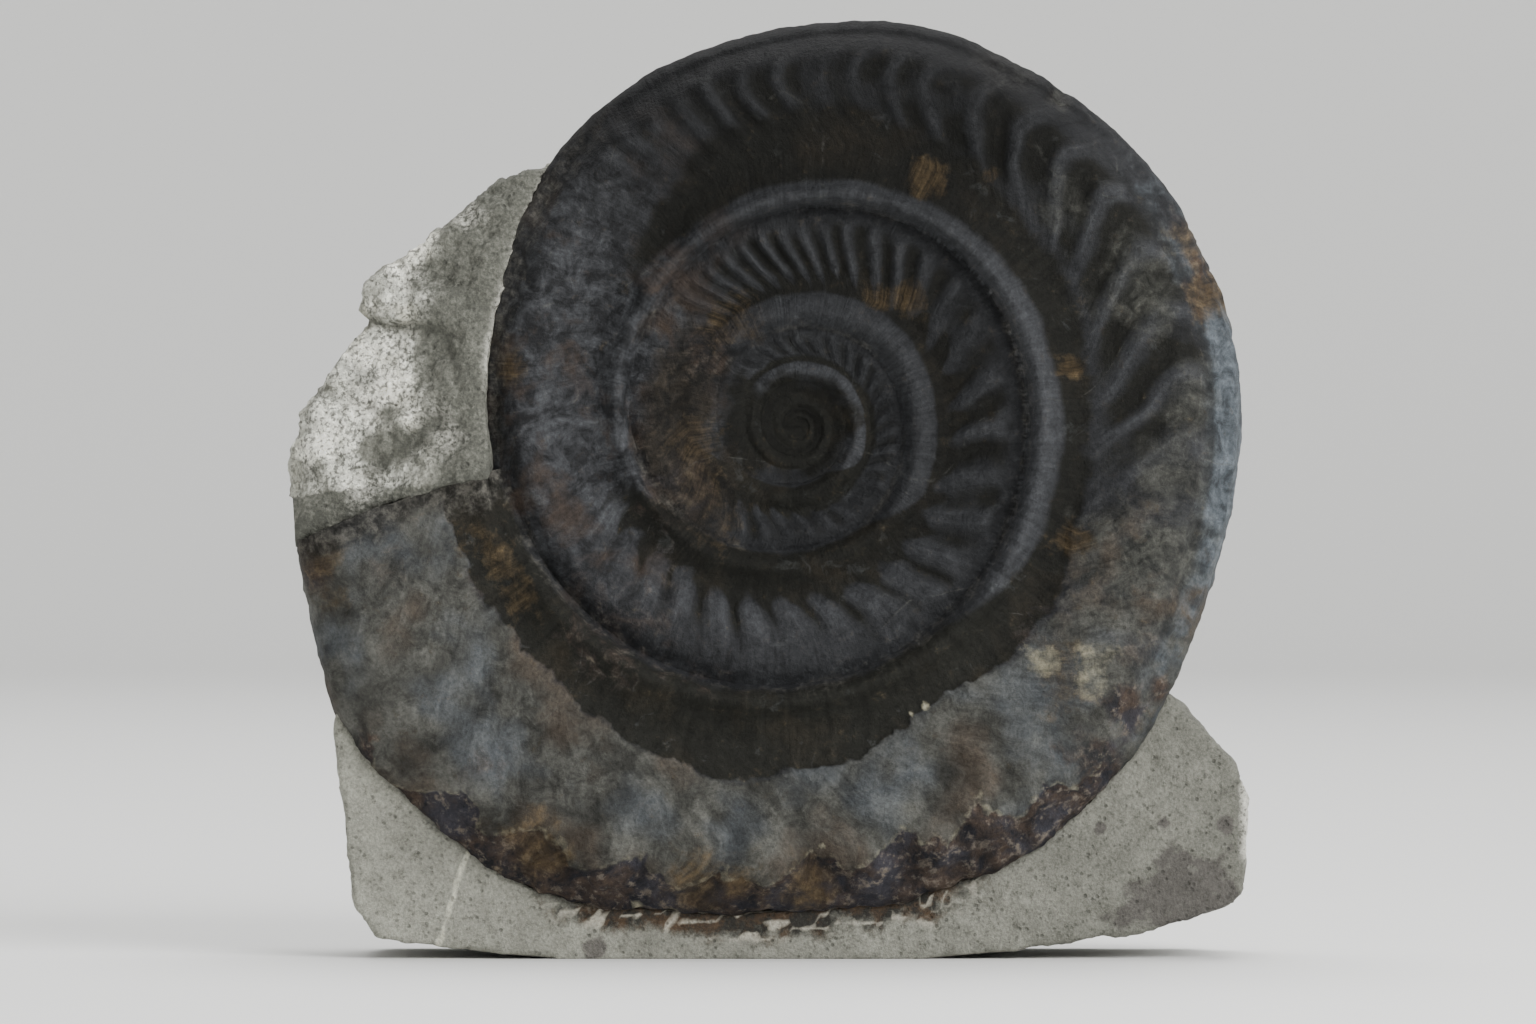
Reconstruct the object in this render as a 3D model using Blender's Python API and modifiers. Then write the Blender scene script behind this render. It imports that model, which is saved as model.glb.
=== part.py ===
"""A ribbed ammonite in the block of limestone that it stands in.

The shell is one solid: a ribbon as wide as a whorl, wound inwards turn by turn and welded to
itself along the seams, with a rim that goes over the keel to a flat rear inside the stone.
The stone is the other solid: a slab behind the shell, a block under it and a lump at the
upper left, with a bed cut for the shell. The front looks along -Y.
"""

import math

import bmesh
import bpy
import numpy as np

MM = 0.001

# The coil, in millimetres. Its angle grows clockwise seen from the front, in degrees from the
# left, and goes on growing from turn to turn: -1080 at the heart, END_ANGLE at the mouth.
AXIS_X = 6.3
AXIS_Z = 113.3
MID_Y = -8.5
START_ANGLE = -1080.0
END_ANGLE = 352.0
TURN = 360.0
ROW_STEP = 1.0
FLANK_COLUMNS = 14
RIM_COLUMNS = 8
SHELL_DETAIL = 0.15

# Radius of the seam under each whorl, every 45 degrees from START_ANGLE
SEAM_RADIUS = (
    3.2, 3.6, 4.1, 4.5, 4.9, 5.6, 6.2, 6.9,
    7.7, 9.0, 9.8, 10.0, 10.3, 11.1, 12.4, 14.1,
    16.7, 19.7, 20.9, 22.2, 22.4, 24.1, 26.1, 29.9,
    35.5, 39.7, 46.2, 49.6, 48.3, 50.2, 54.7, 59.4, 63.7,
)
# Radius of the keel of the last turn, every 15 degrees from -15
KEEL_RADIUS = (
    67.0, 68.4, 70.1, 72.7, 76.9, 80.4, 82.9, 85.5, 89.1, 90.8, 92.3, 94.2, 95.1,
    94.7, 94.2, 95.5, 100.0, 103.0, 103.4, 103.2, 106.9, 113.9, 114.5, 115.5, 110.5, 108.5,
)
# Half the thickness of a whorl at its thickest
THICKNESS_ANGLES = (-1080, -720, -360, -180, 0, 90, 180, 270, 360)
HALF_THICKNESS = (2.3, 4.1, 7.1, 9.4, 12.5, 14.3, 16.5, 16.6, 15.0)

# A whorl's section: height over half thickness, from the seam (0) to the shoulder and past it (1)
SECTION_PLACES = (0.0, 0.05, 0.10, 0.17, 0.24, 0.3, 0.38, 0.44, 0.5, 0.6, 0.72, 0.84, 0.93, 1.0)
SECTION_HEIGHTS = (
    0.50, 0.68, 0.84, 0.93, 0.88, 0.80, 0.71, 0.68, 0.71, 0.80, 0.92, 1.0, 0.94, 0.76,
)
SEAM_HEIGHT = SECTION_HEIGHTS[0]
BAND_PLACE = 0.3
GROOVE_PLACE = 0.5
# How far across the whorl the smooth band ends and the ribs begin
ZONE_ANGLES = (-1080, -540, -180, 0, 60, 90, 130, 180, 250, 352)
BAND_SHARE = (0.36, 0.34, 0.26, 0.17, 0.15, 0.13, 0.13, 0.16, 0.14, 0.12)
RIB_SHARE = (0.55, 0.48, 0.43, 0.36, 0.36, 0.50, 0.44, 0.33, 0.33, 0.28)

# Crests of the ribs on the two outer whorls, and the even ribs of the third
OUTER_RIBS = (
    -4, 3, 9.5, 16, 22.5, 29, 35.5, 42, 48.5, 54.5, 60, 65, 70, 75, 80.5, 86, 92.5, 98.5, 104,
    110, 118, 126, 134, 142, 152, 162, 171, 181, 192, 202, 212, 223,
)
MIDDLE_RIBS = (
    -354, -345, -336, -328, -320, -312, -306, -300.5, -294.5, -288, -281.5, -275, -269, -262.5,
    -256, -248, -241, -233, -221, -209, -195, -181, -165, -153, -141, -129, -116, -104, -93,
    -82, -71, -60.5, -50, -40, -31, -23, -16, -8,
)
INNER_RIB_STEP = 11.5
RIB_ANGLES = (-720, -700, -560, -480, -370, -310, -270, -90, -30, 0, 45, 62, 95, 160, 186, 215, 225)
RIB_HEIGHTS = (0.0, 0.35, 0.45, 0.4, 0.4, 0.8, 0.9, 1.1, 0.8, 0.3, 0.4, 0.7, 1.1, 1.2, 0.5, 0.3, 0.0)
RIB_LEAN_ANGLES = (-720, -400, -180, 60, 110, 180)
RIB_LEANS = (15.0, 13.0, 9.0, 6.0, 9.0, 14.0)

# The rim of the last turn
KEEL_DROP = 2.6
RIM_SHOULDER = 0.64
COVER_FADE = 60.0
REAR_DEPTH = 12.0
REAR_TUCK = 5.0
MOUTH_SLANT = 5.0
MOUTH_REACH = 50.0
BEDDED_ANGLES = (200, 225, 320, 335)

# The stone, in millimetres from the origin: outlines as (x, z), depths from the shell's mid-plane
GAP = 0.3
SLAB_FRONT = REAR_DEPTH + GAP
SLAB_REAR = 34.0
JOINT_STEP = 0.2
BLOCK_FRONT = -7.0
LUMP_FRONT = -17.0
SLAB_INSET = 3.6
SLAB_STEP = 13.0
BED_GAP = 0.45
BED_STEP = 4.0
MOUTH_STEPS = 6
MOUTH_GAP = 1.0
EDGE_ROUND = 1.6
BLOCK_OUTLINE = (
    (-93.1, 52.1), (-90.5, 33.6), (-89.0, 16.5), (-87.5, 10.0), (-83.0, 4.2), (-70.0, 2.4),
    (-57.0, 1.2), (-45.0, 0.0), (34.0, 0.0), (49.5, 1.6), (70.8, 4.8), (87.9, 7.9),
    (98.6, 11.1), (101.4, 13.8), (102.3, 33.6), (99.7, 41.0), (92.2, 49.6), (85.8, 56.5),
    (60.0, 62.0), (-70.0, 62.0),
)
LUMP_OUTLINE = (
    (-44.6, 171.4), (-53.1, 166.5), (-58.0, 165.4), (-63.8, 161.8), (-70.2, 155.8),
    (-78.7, 148.5), (-85.2, 143.0), (-85.9, 136.0), (-90.5, 129.7), (-94.8, 123.7),
    (-96.3, 118.6), (-99.5, 112.6), (-102.3, 105.1), (-102.3, 97.7), (-101.0, 88.0),
    (-70.0, 92.0), (-35.0, 120.0), (-30.0, 150.0),
)
SLAB_LEFT_OUTLINE = (
    (-91.0, 50.0), (-94.5, 64.0), (-97.0, 80.0), (-98.5, 92.0), (-99.0, 104.0),
    (-92.0, 122.0), (-83.0, 139.5), (-70.0, 153.0), (-56.0, 162.5),
)
SLAB_ARC = (38.0, 207.0)
SLAB_FOOT = ((60.0, 40.0), (40.0, 20.0), (-60.0, 20.0))
# Planes that the stone broke along: a point of the plane as (x, depth, z), and the way it faces
LUMP_BREAKS = (
    ((-62.0, -16.0, 108.0), (-0.344, -0.936, 0.232)),
    ((-97.0, -2.0, 112.0), (-0.80, -0.55, 0.24)),
    ((-72.0, -1.0, 153.0), (-0.45, -0.72, 0.53)),
)
SLAB_BREAKS = (
    ((0.0, 22.0, 195.0), (0.0, 0.95, 0.31)),
    ((97.0, 19.0, 118.0), (0.50, 0.86, 0.05)),
    ((-92.0, 18.0, 125.0), (-0.42, 0.86, 0.29)),
    ((70.0, 20.0, 178.0), (0.42, 0.80, 0.43)),
)
BLOCK_BREAKS = (
    ((-88.0, 26.0, 20.0), (-0.70, 0.70, 0.12)),
    ((100.0, 24.0, 30.0), (0.62, 0.78, 0.10)),
)


def clear_scene():
    for thing in list(bpy.data.objects):
        bpy.data.objects.remove(thing, do_unlink=True)


def new_collection(name):
    group = bpy.data.collections.new(name)
    bpy.context.scene.collection.children.link(group)
    return group


def stone_material(name, colour, roughness):
    material = bpy.data.materials.new(name)
    material.use_nodes = True
    shader = material.node_tree.nodes["Principled BSDF"]
    shader.inputs["Base Color"].default_value = (*colour, 1.0)
    shader.inputs["Roughness"].default_value = roughness
    return material


def through(places, values, at):
    """A smooth curve through the values at their places, read at each number of `at`."""
    places, values = np.asarray(places, float), np.asarray(values, float)
    slopes = np.gradient(values, places)
    at = np.clip(at, places[0], places[-1])
    i = np.clip(np.searchsorted(places, at, side="right") - 1, 0, len(places) - 2)
    width = places[i + 1] - places[i]
    t = (at - places[i]) / width
    return (
        (2 * t**3 - 3 * t**2 + 1) * values[i]
        + (t**3 - 2 * t**2 + t) * width * slopes[i]
        + (3 * t**2 - 2 * t**3) * values[i + 1]
        + (t**3 - t**2) * width * slopes[i + 1]
    )


def ease(low, high, at):
    t = np.clip((at - low) / (high - low), 0.0, 1.0)
    return t * t * (3 - 2 * t)


def seam(angle):
    knots = START_ANGLE + 45.0 * np.arange(len(SEAM_RADIUS))
    return through(knots, SEAM_RADIUS, angle)


def keel(angle):
    knots = -15.0 + 15.0 * np.arange(len(KEEL_RADIUS))
    return through(knots, KEEL_RADIUS, angle)


def half_thickness(angle):
    return through(THICKNESS_ANGLES, HALF_THICKNESS, angle)


def cover(angle):
    """Radius and height of the line where the next whorl starts, or would start, on this one."""
    open_start = END_ANGLE - TURN
    fade = np.exp(-np.maximum(angle - open_start, 0.0) / COVER_FADE)
    first_drop = keel(open_start) - seam(END_ANGLE)
    open_radius = keel(angle) - KEEL_DROP - (first_drop - KEEL_DROP) * fade
    first_height = SEAM_HEIGHT * half_thickness(END_ANGLE) / half_thickness(open_start)
    open_height = half_thickness(angle) * (RIM_SHOULDER + (first_height - RIM_SHOULDER) * fade)
    covered = angle <= open_start
    radius = np.where(covered, seam(angle + TURN), open_radius)
    height = np.where(covered, SEAM_HEIGHT * half_thickness(angle + TURN), open_height)
    return radius, height


def rib_wave(angle):
    """How far up a rib each angle is, from 0 in the furrow to 1 on the crest."""
    inner_count = int((MIDDLE_RIBS[0] + 720) // INNER_RIB_STEP)
    inner = [MIDDLE_RIBS[0] - INNER_RIB_STEP * n for n in range(inner_count, 0, -1)]
    crests = np.array(inner + list(MIDDLE_RIBS[:-1]) + list(OUTER_RIBS))
    phase = np.interp(angle, crests, np.arange(len(crests)))
    return 0.5 + 0.5 * np.cos(2 * math.pi * phase)


def flank_height(angle, across):
    """Height of the flank over the mid-plane. `across` runs from the seam to the cover line."""
    band = np.interp(angle, ZONE_ANGLES, BAND_SHARE)
    ribs_from = np.interp(angle, ZONE_ANGLES, RIB_SHARE)
    place = np.where(
        across < band,
        BAND_PLACE * across / band,
        np.where(
            across < ribs_from,
            BAND_PLACE + (GROOVE_PLACE - BAND_PLACE) * (across - band) / (ribs_from - band),
            GROOVE_PLACE + (1 - GROOVE_PLACE) * (across - ribs_from) / (1 - ribs_from),
        ),
    )
    half = half_thickness(angle)
    _, cover_height = cover(angle)
    section = through(SECTION_PLACES, SECTION_HEIGHTS, place)
    section += (cover_height / half - SECTION_HEIGHTS[-1]) * ease(0.84, 1.0, place)
    lean = np.interp(angle, RIB_LEAN_ANGLES, RIB_LEANS)
    lean = lean * (np.clip(0.85 - across, 0.0, 0.5) / 0.5) ** 1.5
    on_ribs = ease(ribs_from - 0.03, ribs_from + 0.12, across) * (1 - ease(0.86, 0.99, across))
    rib = np.interp(angle, RIB_ANGLES, RIB_HEIGHTS) * (rib_wave(angle - lean) - 0.5)
    return half * section + rib * on_ribs


def put(angle, radius, height):
    """Points of the shell in metres, one to a row."""
    turned = np.radians(angle)
    x = AXIS_X - radius * np.cos(turned)
    z = AXIS_Z + radius * np.sin(turned)
    return np.stack([x, MID_Y - height, z], axis=-1) * MM


def mouth_angle(angle, across):
    """The rows lean back towards the mouth, as its broken edge does."""
    return angle - MOUTH_SLANT * across * ease(END_ANGLE - MOUTH_REACH, END_ANGLE, angle)


def flank_points(angle, across):
    start, (end, _) = seam(angle), cover(angle)
    height = flank_height(angle, across)
    return put(mouth_angle(angle, across), start + across * (end - start), height)


def bedded(angle):
    """1 where the rim stands in the block, 0 where it is free."""
    a, b, c, d = BEDDED_ANGLES
    return ease(a, b, angle) * (1 - ease(c, d, angle))


def rim_points(angle, along):
    """The rim from the cover line over the keel (0.5) to the flat rear (1)."""
    start, top = cover(angle)
    outer = keel(angle)
    swing = np.clip(along, 0.0, 0.5) * math.pi
    front_height = top * np.cos(swing)
    stands_out = ease(-BLOCK_FRONT, np.maximum(top, -BLOCK_FRONT + 1.0), front_height)
    drop = (outer - start) * (1 - np.sin(swing)) * (1 - bedded(angle) * (1 - stands_out))
    back = np.clip(along - 0.5, 0.0, 0.5) * 2
    radius = outer - drop - REAR_TUCK * back**2 * (1 - bedded(angle))
    height = np.where(along <= 0.5, front_height, -REAR_DEPTH * back)
    return put(mouth_angle(angle, 1.0 + 0 * along), radius, height)


def wound_grid(first_angle, last_angle, columns, points):
    """A flat grid with its rows laid along the angles by `points`, as a new bmesh."""
    rows = round((last_angle - first_angle) / ROW_STEP)
    grid = bmesh.new()
    bmesh.ops.create_grid(grid, x_segments=rows, y_segments=columns, size=1.0)
    flat = np.array([v.co[:2] for v in grid.verts])
    angle = first_angle + ROW_STEP * np.round((flat[:, 0] + 1) / 2 * rows)
    across = np.round((flat[:, 1] + 1) / 2 * columns) / columns
    for vertex, place in zip(grid.verts, points(angle, across)):
        vertex.co = place
    return grid


def build_shell(name, material, group):
    flank = wound_grid(START_ANGLE, END_ANGLE, FLANK_COLUMNS, flank_points)
    rim = wound_grid(END_ANGLE - TURN, END_ANGLE, RIM_COLUMNS, rim_points)
    mesh = bpy.data.meshes.new(name)
    rim.to_mesh(mesh)
    flank.from_mesh(mesh)
    rim.free()
    bmesh.ops.remove_doubles(flank, verts=flank.verts, dist=0.02 * MM)
    close_heart(flank)
    close_mouth_and_rear(flank)
    bmesh.ops.triangulate(flank, faces=[f for f in flank.faces if len(f.verts) > 4])
    bmesh.ops.recalc_face_normals(flank, faces=flank.faces)
    flank.to_mesh(mesh)
    flank.free()
    mesh.materials.append(material)
    shell = bpy.data.objects.new(name, mesh)
    group.objects.link(shell)
    fewer = shell.modifiers.new("Fewer faces", "DECIMATE")
    fewer.ratio = SHELL_DETAIL
    mesh.shade_smooth()
    mesh.set_sharp_from_angle(angle=math.radians(50))
    return shell


def open_edges(shape):
    return [edge for edge in shape.edges if edge.is_boundary]


def close_heart(shape):
    reach = (SEAM_RADIUS[8] + 1.0) * MM

    def near_axis(vertex):
        return math.hypot(vertex.co.x - AXIS_X * MM, vertex.co.z - AXIS_Z * MM) < reach

    rim = [edge for edge in open_edges(shape) if all(near_axis(v) for v in edge.verts)]
    filled = bmesh.ops.edgeloop_fill(shape, edges=rim)
    bmesh.ops.poke(shape, faces=filled["faces"])


def close_mouth_and_rear(shape):
    """The open loop runs round the rear and up over the mouth. An edge between them parts it."""
    rear_y = (MID_Y + REAR_DEPTH) * MM
    loose = open_edges(shape)
    at_rear = [e for e in loose if all(abs(v.co.y - rear_y) < 0.001 * MM for v in e.verts)]
    over_mouth = [e for e in loose if e not in set(at_rear)]
    corners = [
        v
        for v in {v for e in at_rear for v in e.verts}
        if any(e in set(over_mouth) for e in v.link_edges)
    ]
    joint = shape.edges.new(corners)
    bmesh.ops.edgeloop_fill(shape, edges=at_rear + [joint])
    bmesh.ops.edgeloop_fill(shape, edges=over_mouth + [joint])


def polar(angle, radius):
    turned = math.radians(angle)
    return AXIS_X - radius * math.cos(turned), AXIS_Z + radius * math.sin(turned)


def plate(name, outline, front, rear):
    """A flat outline in X and Z, filled from depth `front` to depth `rear`, as a welded mesh."""
    curve = bpy.data.curves.new(name, "CURVE")
    curve.dimensions = "2D"
    curve.fill_mode = "BOTH"
    curve.extrude = (rear - front) / 2 * MM
    line = curve.splines.new("POLY")
    line.points.add(len(outline) - 1)
    for point, (x, z) in zip(line.points, outline):
        point.co = (x * MM, z * MM, 0.0, 1.0)
    line.use_cyclic_u = True
    guide = bpy.data.objects.new(name, curve)
    bpy.context.scene.collection.objects.link(guide)
    guide.rotation_euler.x = math.pi / 2
    guide.location.y = (MID_Y + (front + rear) / 2) * MM
    bpy.context.view_layer.update()
    graph = bpy.context.evaluated_depsgraph_get()
    mesh = bpy.data.meshes.new_from_object(guide.evaluated_get(graph))
    mesh.transform(guide.matrix_world)
    bpy.data.objects.remove(guide, do_unlink=True)
    shape = bmesh.new()
    shape.from_mesh(mesh)
    bmesh.ops.remove_doubles(shape, verts=shape.verts, dist=0.01 * MM)
    bmesh.ops.dissolve_limit(
        shape, angle_limit=math.radians(0.5), verts=shape.verts, edges=shape.edges
    )
    bmesh.ops.recalc_face_normals(shape, faces=shape.faces)
    shape.to_mesh(mesh)
    shape.free()
    return mesh


def broken(mesh, breaks):
    """The mesh with what lies beyond each plane taken away."""
    shape = bmesh.new()
    shape.from_mesh(mesh)
    for (x, depth, z), facing in breaks:
        everything = list(shape.verts) + list(shape.edges) + list(shape.faces)
        cut = bmesh.ops.bisect_plane(
            shape,
            geom=everything,
            dist=0.01 * MM,
            plane_co=(x * MM, (MID_Y + depth) * MM, z * MM),
            plane_no=facing,
            clear_outer=True,
        )
        rim = [part for part in cut["geom_cut"] if isinstance(part, bmesh.types.BMEdge)]
        bmesh.ops.edgeloop_fill(shape, edges=rim)
    bmesh.ops.recalc_face_normals(shape, faces=shape.faces)
    shape.to_mesh(mesh)
    shape.free()
    return mesh


def stone_piece(name, mesh, group):
    piece = bpy.data.objects.new(name, mesh)
    group.objects.link(piece)
    edges = piece.modifiers.new("Worn edges", "BEVEL")
    edges.width = EDGE_ROUND * MM
    edges.segments = 1
    edges.limit_method = "ANGLE"
    edges.angle_limit = math.radians(25)
    return piece


def as_helper(thing):
    thing.hide_render = True
    thing.display_type = "WIRE"
    return thing


def join(whole, other, operation):
    step = whole.modifiers.new(other.name, "BOOLEAN")
    step.operation = operation
    step.solver = "EXACT"
    step.object = other


def slab_outline():
    first, last = SLAB_ARC
    count = round((last - first) / SLAB_STEP)
    arc = []
    for n in range(count + 1):
        angle = first + (last - first) * n / count
        wobble = 0.9 * math.sin(2.3 * n) + 0.5 * math.sin(5.1 * n)
        arc.append(polar(angle, float(keel(angle)) - SLAB_INSET + wobble))
    return SLAB_LEFT_OUTLINE + tuple(arc) + SLAB_FOOT


def bed_outline():
    """The shell's outline seen from the front, grown by the gap that is left round it."""
    count = round(TURN / BED_STEP)
    points = []
    for n in range(count + 1):
        angle = END_ANGLE - TURN + TURN * n / count
        points.append(polar(float(mouth_angle(angle, 1.0)), float(keel(angle)) + BED_GAP))
    outer = float(keel(END_ANGLE)) + BED_GAP
    inner = float(keel(END_ANGLE - TURN)) + BED_GAP
    for n in range(MOUTH_STEPS):
        across = 1 - n / MOUTH_STEPS
        radius = inner + across * (outer - inner)
        clear = math.degrees(MOUTH_GAP / radius)
        points.append(polar(float(mouth_angle(END_ANGLE, across)) + clear, radius))
    return points


def build_stone(name, material, group, helpers):
    slab = plate("slab", slab_outline(), SLAB_FRONT, SLAB_REAR)
    stone = stone_piece(name, broken(slab, SLAB_BREAKS), group)
    block = plate("block", BLOCK_OUTLINE, BLOCK_FRONT, SLAB_REAR - JOINT_STEP)
    block = as_helper(stone_piece("block", broken(block, BLOCK_BREAKS), helpers))
    lump = plate("lump", LUMP_OUTLINE, LUMP_FRONT, SLAB_REAR - JOINT_STEP)
    lump = as_helper(stone_piece("lump", broken(lump, LUMP_BREAKS + SLAB_BREAKS), helpers))
    bed = bpy.data.objects.new("bed", plate("bed", bed_outline(), -60.0, SLAB_FRONT))
    helpers.objects.link(as_helper(bed))
    join(stone, block, "UNION")
    join(stone, lump, "UNION")
    join(stone, bed, "DIFFERENCE")
    stone.data.materials.append(material)
    return stone


clear_scene()
fossil = new_collection("ammonite_fossil")
cutters = new_collection("cutters")
build_shell("ammonite", stone_material("dark shell", (0.045, 0.046, 0.046), 0.45), fossil)
build_stone("matrix", stone_material("limestone", (0.24, 0.25, 0.22), 0.85), fossil, cutters)
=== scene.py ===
"""The looks of an ammonite in its block of limestone, laid out as a Blender add-on."""

import math
from contextlib import contextmanager
from types import SimpleNamespace

import bpy
import numpy as np
from bpy.props import FloatProperty, FloatVectorProperty, IntProperty, PointerProperty
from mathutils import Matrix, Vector, noise


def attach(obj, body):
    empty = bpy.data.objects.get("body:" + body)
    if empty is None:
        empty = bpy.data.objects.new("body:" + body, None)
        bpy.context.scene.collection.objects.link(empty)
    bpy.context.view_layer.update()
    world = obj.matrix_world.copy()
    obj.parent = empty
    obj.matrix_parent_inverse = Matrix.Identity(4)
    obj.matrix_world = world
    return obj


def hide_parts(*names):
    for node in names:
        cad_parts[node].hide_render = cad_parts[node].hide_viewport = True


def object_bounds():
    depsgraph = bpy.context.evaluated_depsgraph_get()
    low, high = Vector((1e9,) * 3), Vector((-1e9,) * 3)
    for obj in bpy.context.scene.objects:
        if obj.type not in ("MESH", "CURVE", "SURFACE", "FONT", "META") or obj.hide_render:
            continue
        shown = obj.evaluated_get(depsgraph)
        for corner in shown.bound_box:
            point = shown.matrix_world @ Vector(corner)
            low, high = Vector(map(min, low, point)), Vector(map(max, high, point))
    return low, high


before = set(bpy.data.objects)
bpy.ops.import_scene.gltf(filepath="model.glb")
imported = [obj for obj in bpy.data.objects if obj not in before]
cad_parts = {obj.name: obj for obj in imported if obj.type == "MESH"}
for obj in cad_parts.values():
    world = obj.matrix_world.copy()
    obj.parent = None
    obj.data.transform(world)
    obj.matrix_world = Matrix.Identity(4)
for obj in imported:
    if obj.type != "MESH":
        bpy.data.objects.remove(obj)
CAD_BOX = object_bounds()

bl_info = {
    "name": "Ammonite in limestone",
    "version": (1, 0, 0),
    "blender": (4, 5, 0),
    "location": "View3D > Sidebar > Fossil",
    "description": "Models a ribbed ammonite, the stone it stands in and a plain stage",
    "category": "Object",
}

MM = 0.001
PHOTO_WIDTH, PHOTO_HEIGHT = 1536, 1024
# Height of the object in the photo, in its pixels
OBJECT_PIXELS = 936

# The coil, in millimetres. Its angle grows clockwise seen from the front, in degrees from the
# left, and goes on growing from turn to turn, up to END_ANGLE at the mouth.
AXIS_X = 6.3
AXIS_Z = 113.3
MID_Y = -8.5
TURN = 360.0
START_ANGLE = -1440.0
END_ANGLE = 352.0
SEAM_STEP = 45.0
KEEL_STEP = 15.0
KEEL_START = -15.0

# Radius of the seam under each whorl, every SEAM_STEP from START_ANGLE
SEAM_RADIUS = (
    1.5, 1.6, 1.8, 2.0, 2.2, 2.5, 2.7, 3.0,
    3.2, 3.6, 4.1, 4.5, 4.9, 5.6, 6.2, 6.9,
    7.7, 9.0, 9.8, 10.0, 10.3, 11.1, 12.4, 14.1,
    16.7, 19.7, 20.9, 22.2, 22.4, 24.1, 26.1, 29.9,
    35.5, 39.7, 46.2, 49.6, 48.3, 50.2, 54.7, 59.4, 63.7,
)
# Radius of the keel of the last turn, every KEEL_STEP from KEEL_START
KEEL_RADIUS = (
    67.0, 68.4, 70.1, 72.7, 76.9, 80.4, 82.9, 85.5, 89.1, 90.8, 92.3, 94.2, 95.1,
    94.7, 94.2, 95.5, 100.0, 103.0, 103.4, 103.2, 106.9, 113.9, 114.5, 115.5, 110.5, 108.5,
)
# Half the thickness of a whorl at its thickest
THICKNESS_ANGLES = (-1440, -1080, -720, -360, -180, 0, 90, 180, 270, 360)
HALF_THICKNESS = (1.3, 2.3, 4.1, 7.1, 9.4, 12.5, 14.3, 16.5, 16.6, 15.0)

# A whorl's section: height over half thickness, from the seam (0) to the shoulder and past it (1)
SECTION_PLACES = (0.0, 0.05, 0.10, 0.17, 0.24, 0.30, 0.38, 0.44, 0.5, 0.6, 0.72, 0.84, 0.93, 1.0)
SECTION_HEIGHTS = (
    0.50, 0.68, 0.84, 0.93, 0.88, 0.80, 0.71, 0.68, 0.71, 0.80, 0.92, 1.0, 0.94, 0.76,
)
SEAM_HEIGHT = SECTION_HEIGHTS[0]
BAND_PLACE = 0.3
GROOVE_PLACE = 0.5
# How far across the whorl the smooth band ends and the ribs begin
ZONE_ANGLES = (-1440, -540, -180, 0, 60, 90, 130, 180, 250, 352)
BAND_SHARE = (0.36, 0.34, 0.26, 0.17, 0.15, 0.13, 0.13, 0.16, 0.14, 0.12)
RIB_SHARE = (0.55, 0.48, 0.43, 0.36, 0.36, 0.50, 0.44, 0.33, 0.33, 0.28)

# Crests of the ribs on the two outer whorls, and the even ribs of the third
OUTER_RIBS = (
    -4, 3, 9.5, 16, 22.5, 29, 35.5, 42, 48.5, 54.5, 60, 65, 70, 75, 80.5, 86, 92.5, 98.5, 104,
    110, 118, 126, 134, 142, 152, 162, 171, 181, 192, 202, 212, 223,
)
MIDDLE_RIBS = (
    -354, -345, -336, -328, -320, -312, -306, -300.5, -294.5, -288, -281.5, -275, -269, -262.5,
    -256, -248, -241, -233, -221, -209, -195, -181, -165, -153, -141, -129, -116, -104, -93,
    -82, -71, -60.5, -50, -40, -31, -23, -16, -8,
)
INNER_RIB_STEP = 11.5
RIB_ANGLES = (-720, -700, -560, -480, -370, -310, -270, -90, -30, 0, 45, 62, 95, 160, 186, 215, 225)
RIB_HEIGHTS = (0.0, 0.35, 0.45, 0.4, 0.4, 0.8, 0.9, 1.1, 0.8, 0.3, 0.4, 0.7, 1.1, 1.2, 0.5, 0.3, 0.0)
RIB_LEAN_ANGLES = (-720, -400, -180, 60, 110, 180)
RIB_LEANS = (15.0, 13.0, 9.0, 6.0, 9.0, 14.0)
RIB_HOOK = 4.0
RIB_BEND = 0.2
RIB_END = (0.82, 0.92)
# The low swellings on the outer half of the body chamber
BROAD_STEP = 10.5
BROAD_HEIGHT = 0.65
SHOULDER_GROOVE = 0.6
SHOULDER_PLACE = 0.9
# Stone dust lying in the seams, as a share of half the thickness, and how far it reaches as a
# share of the width; it ends before the mouth
SEAM_FILL = 0.06
FILL_REACH = 0.045
FILL_END = (290, 345)

# The rim of the last turn
KEEL_DROP = 2.6
DISH_SLOPE = 0.27
RIM_SHOULDER = 0.64
COVER_FADE = 60.0
REAR_DEPTH = 12.0
REAR_TUCK = 5.0
MOUTH_SLANT = 5.0
MOUTH_REACH = 50.0
BEDDED_ANGLES = (200, 225, 320, 335)
BLOCK_HEIGHT = 7.0
# Edges sharper than this, in degrees, stay sharp
SMOOTH_UP_TO = 75
# The open middle of the coil, which one face closes
HEART_RADIUS = 3.6

# Stretches of the coil, as angles where a feature begins, is full, begins to fade and has ended
ONE_TURN_LOWER = (205, 240, 325, 352)
SHOULDER_ANGLES = (128, 150, 205, 222)
DARK_TOP = (40, 62, 118, 150)
DARK_RIM = (20, 60, 125, 150)
DARK_SECOND_TURN = (-345, -300, -150, -110)
BRUISED_LEFT = (-62, -35, 35, 62)
# The rim at the right is painted lighter here, as a highlight
RIM_HIGHLIGHT_ANGLES = (138, 172, 205, 236)
SCALLOPED_ANGLES = (222, 230, 322, 332)
KNOB_ANGLES = (222, 240, 335, 350)
DUSTY_RIM = (-12, 0, 48, 66)
WORN_FROM = (186, 226)

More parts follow.
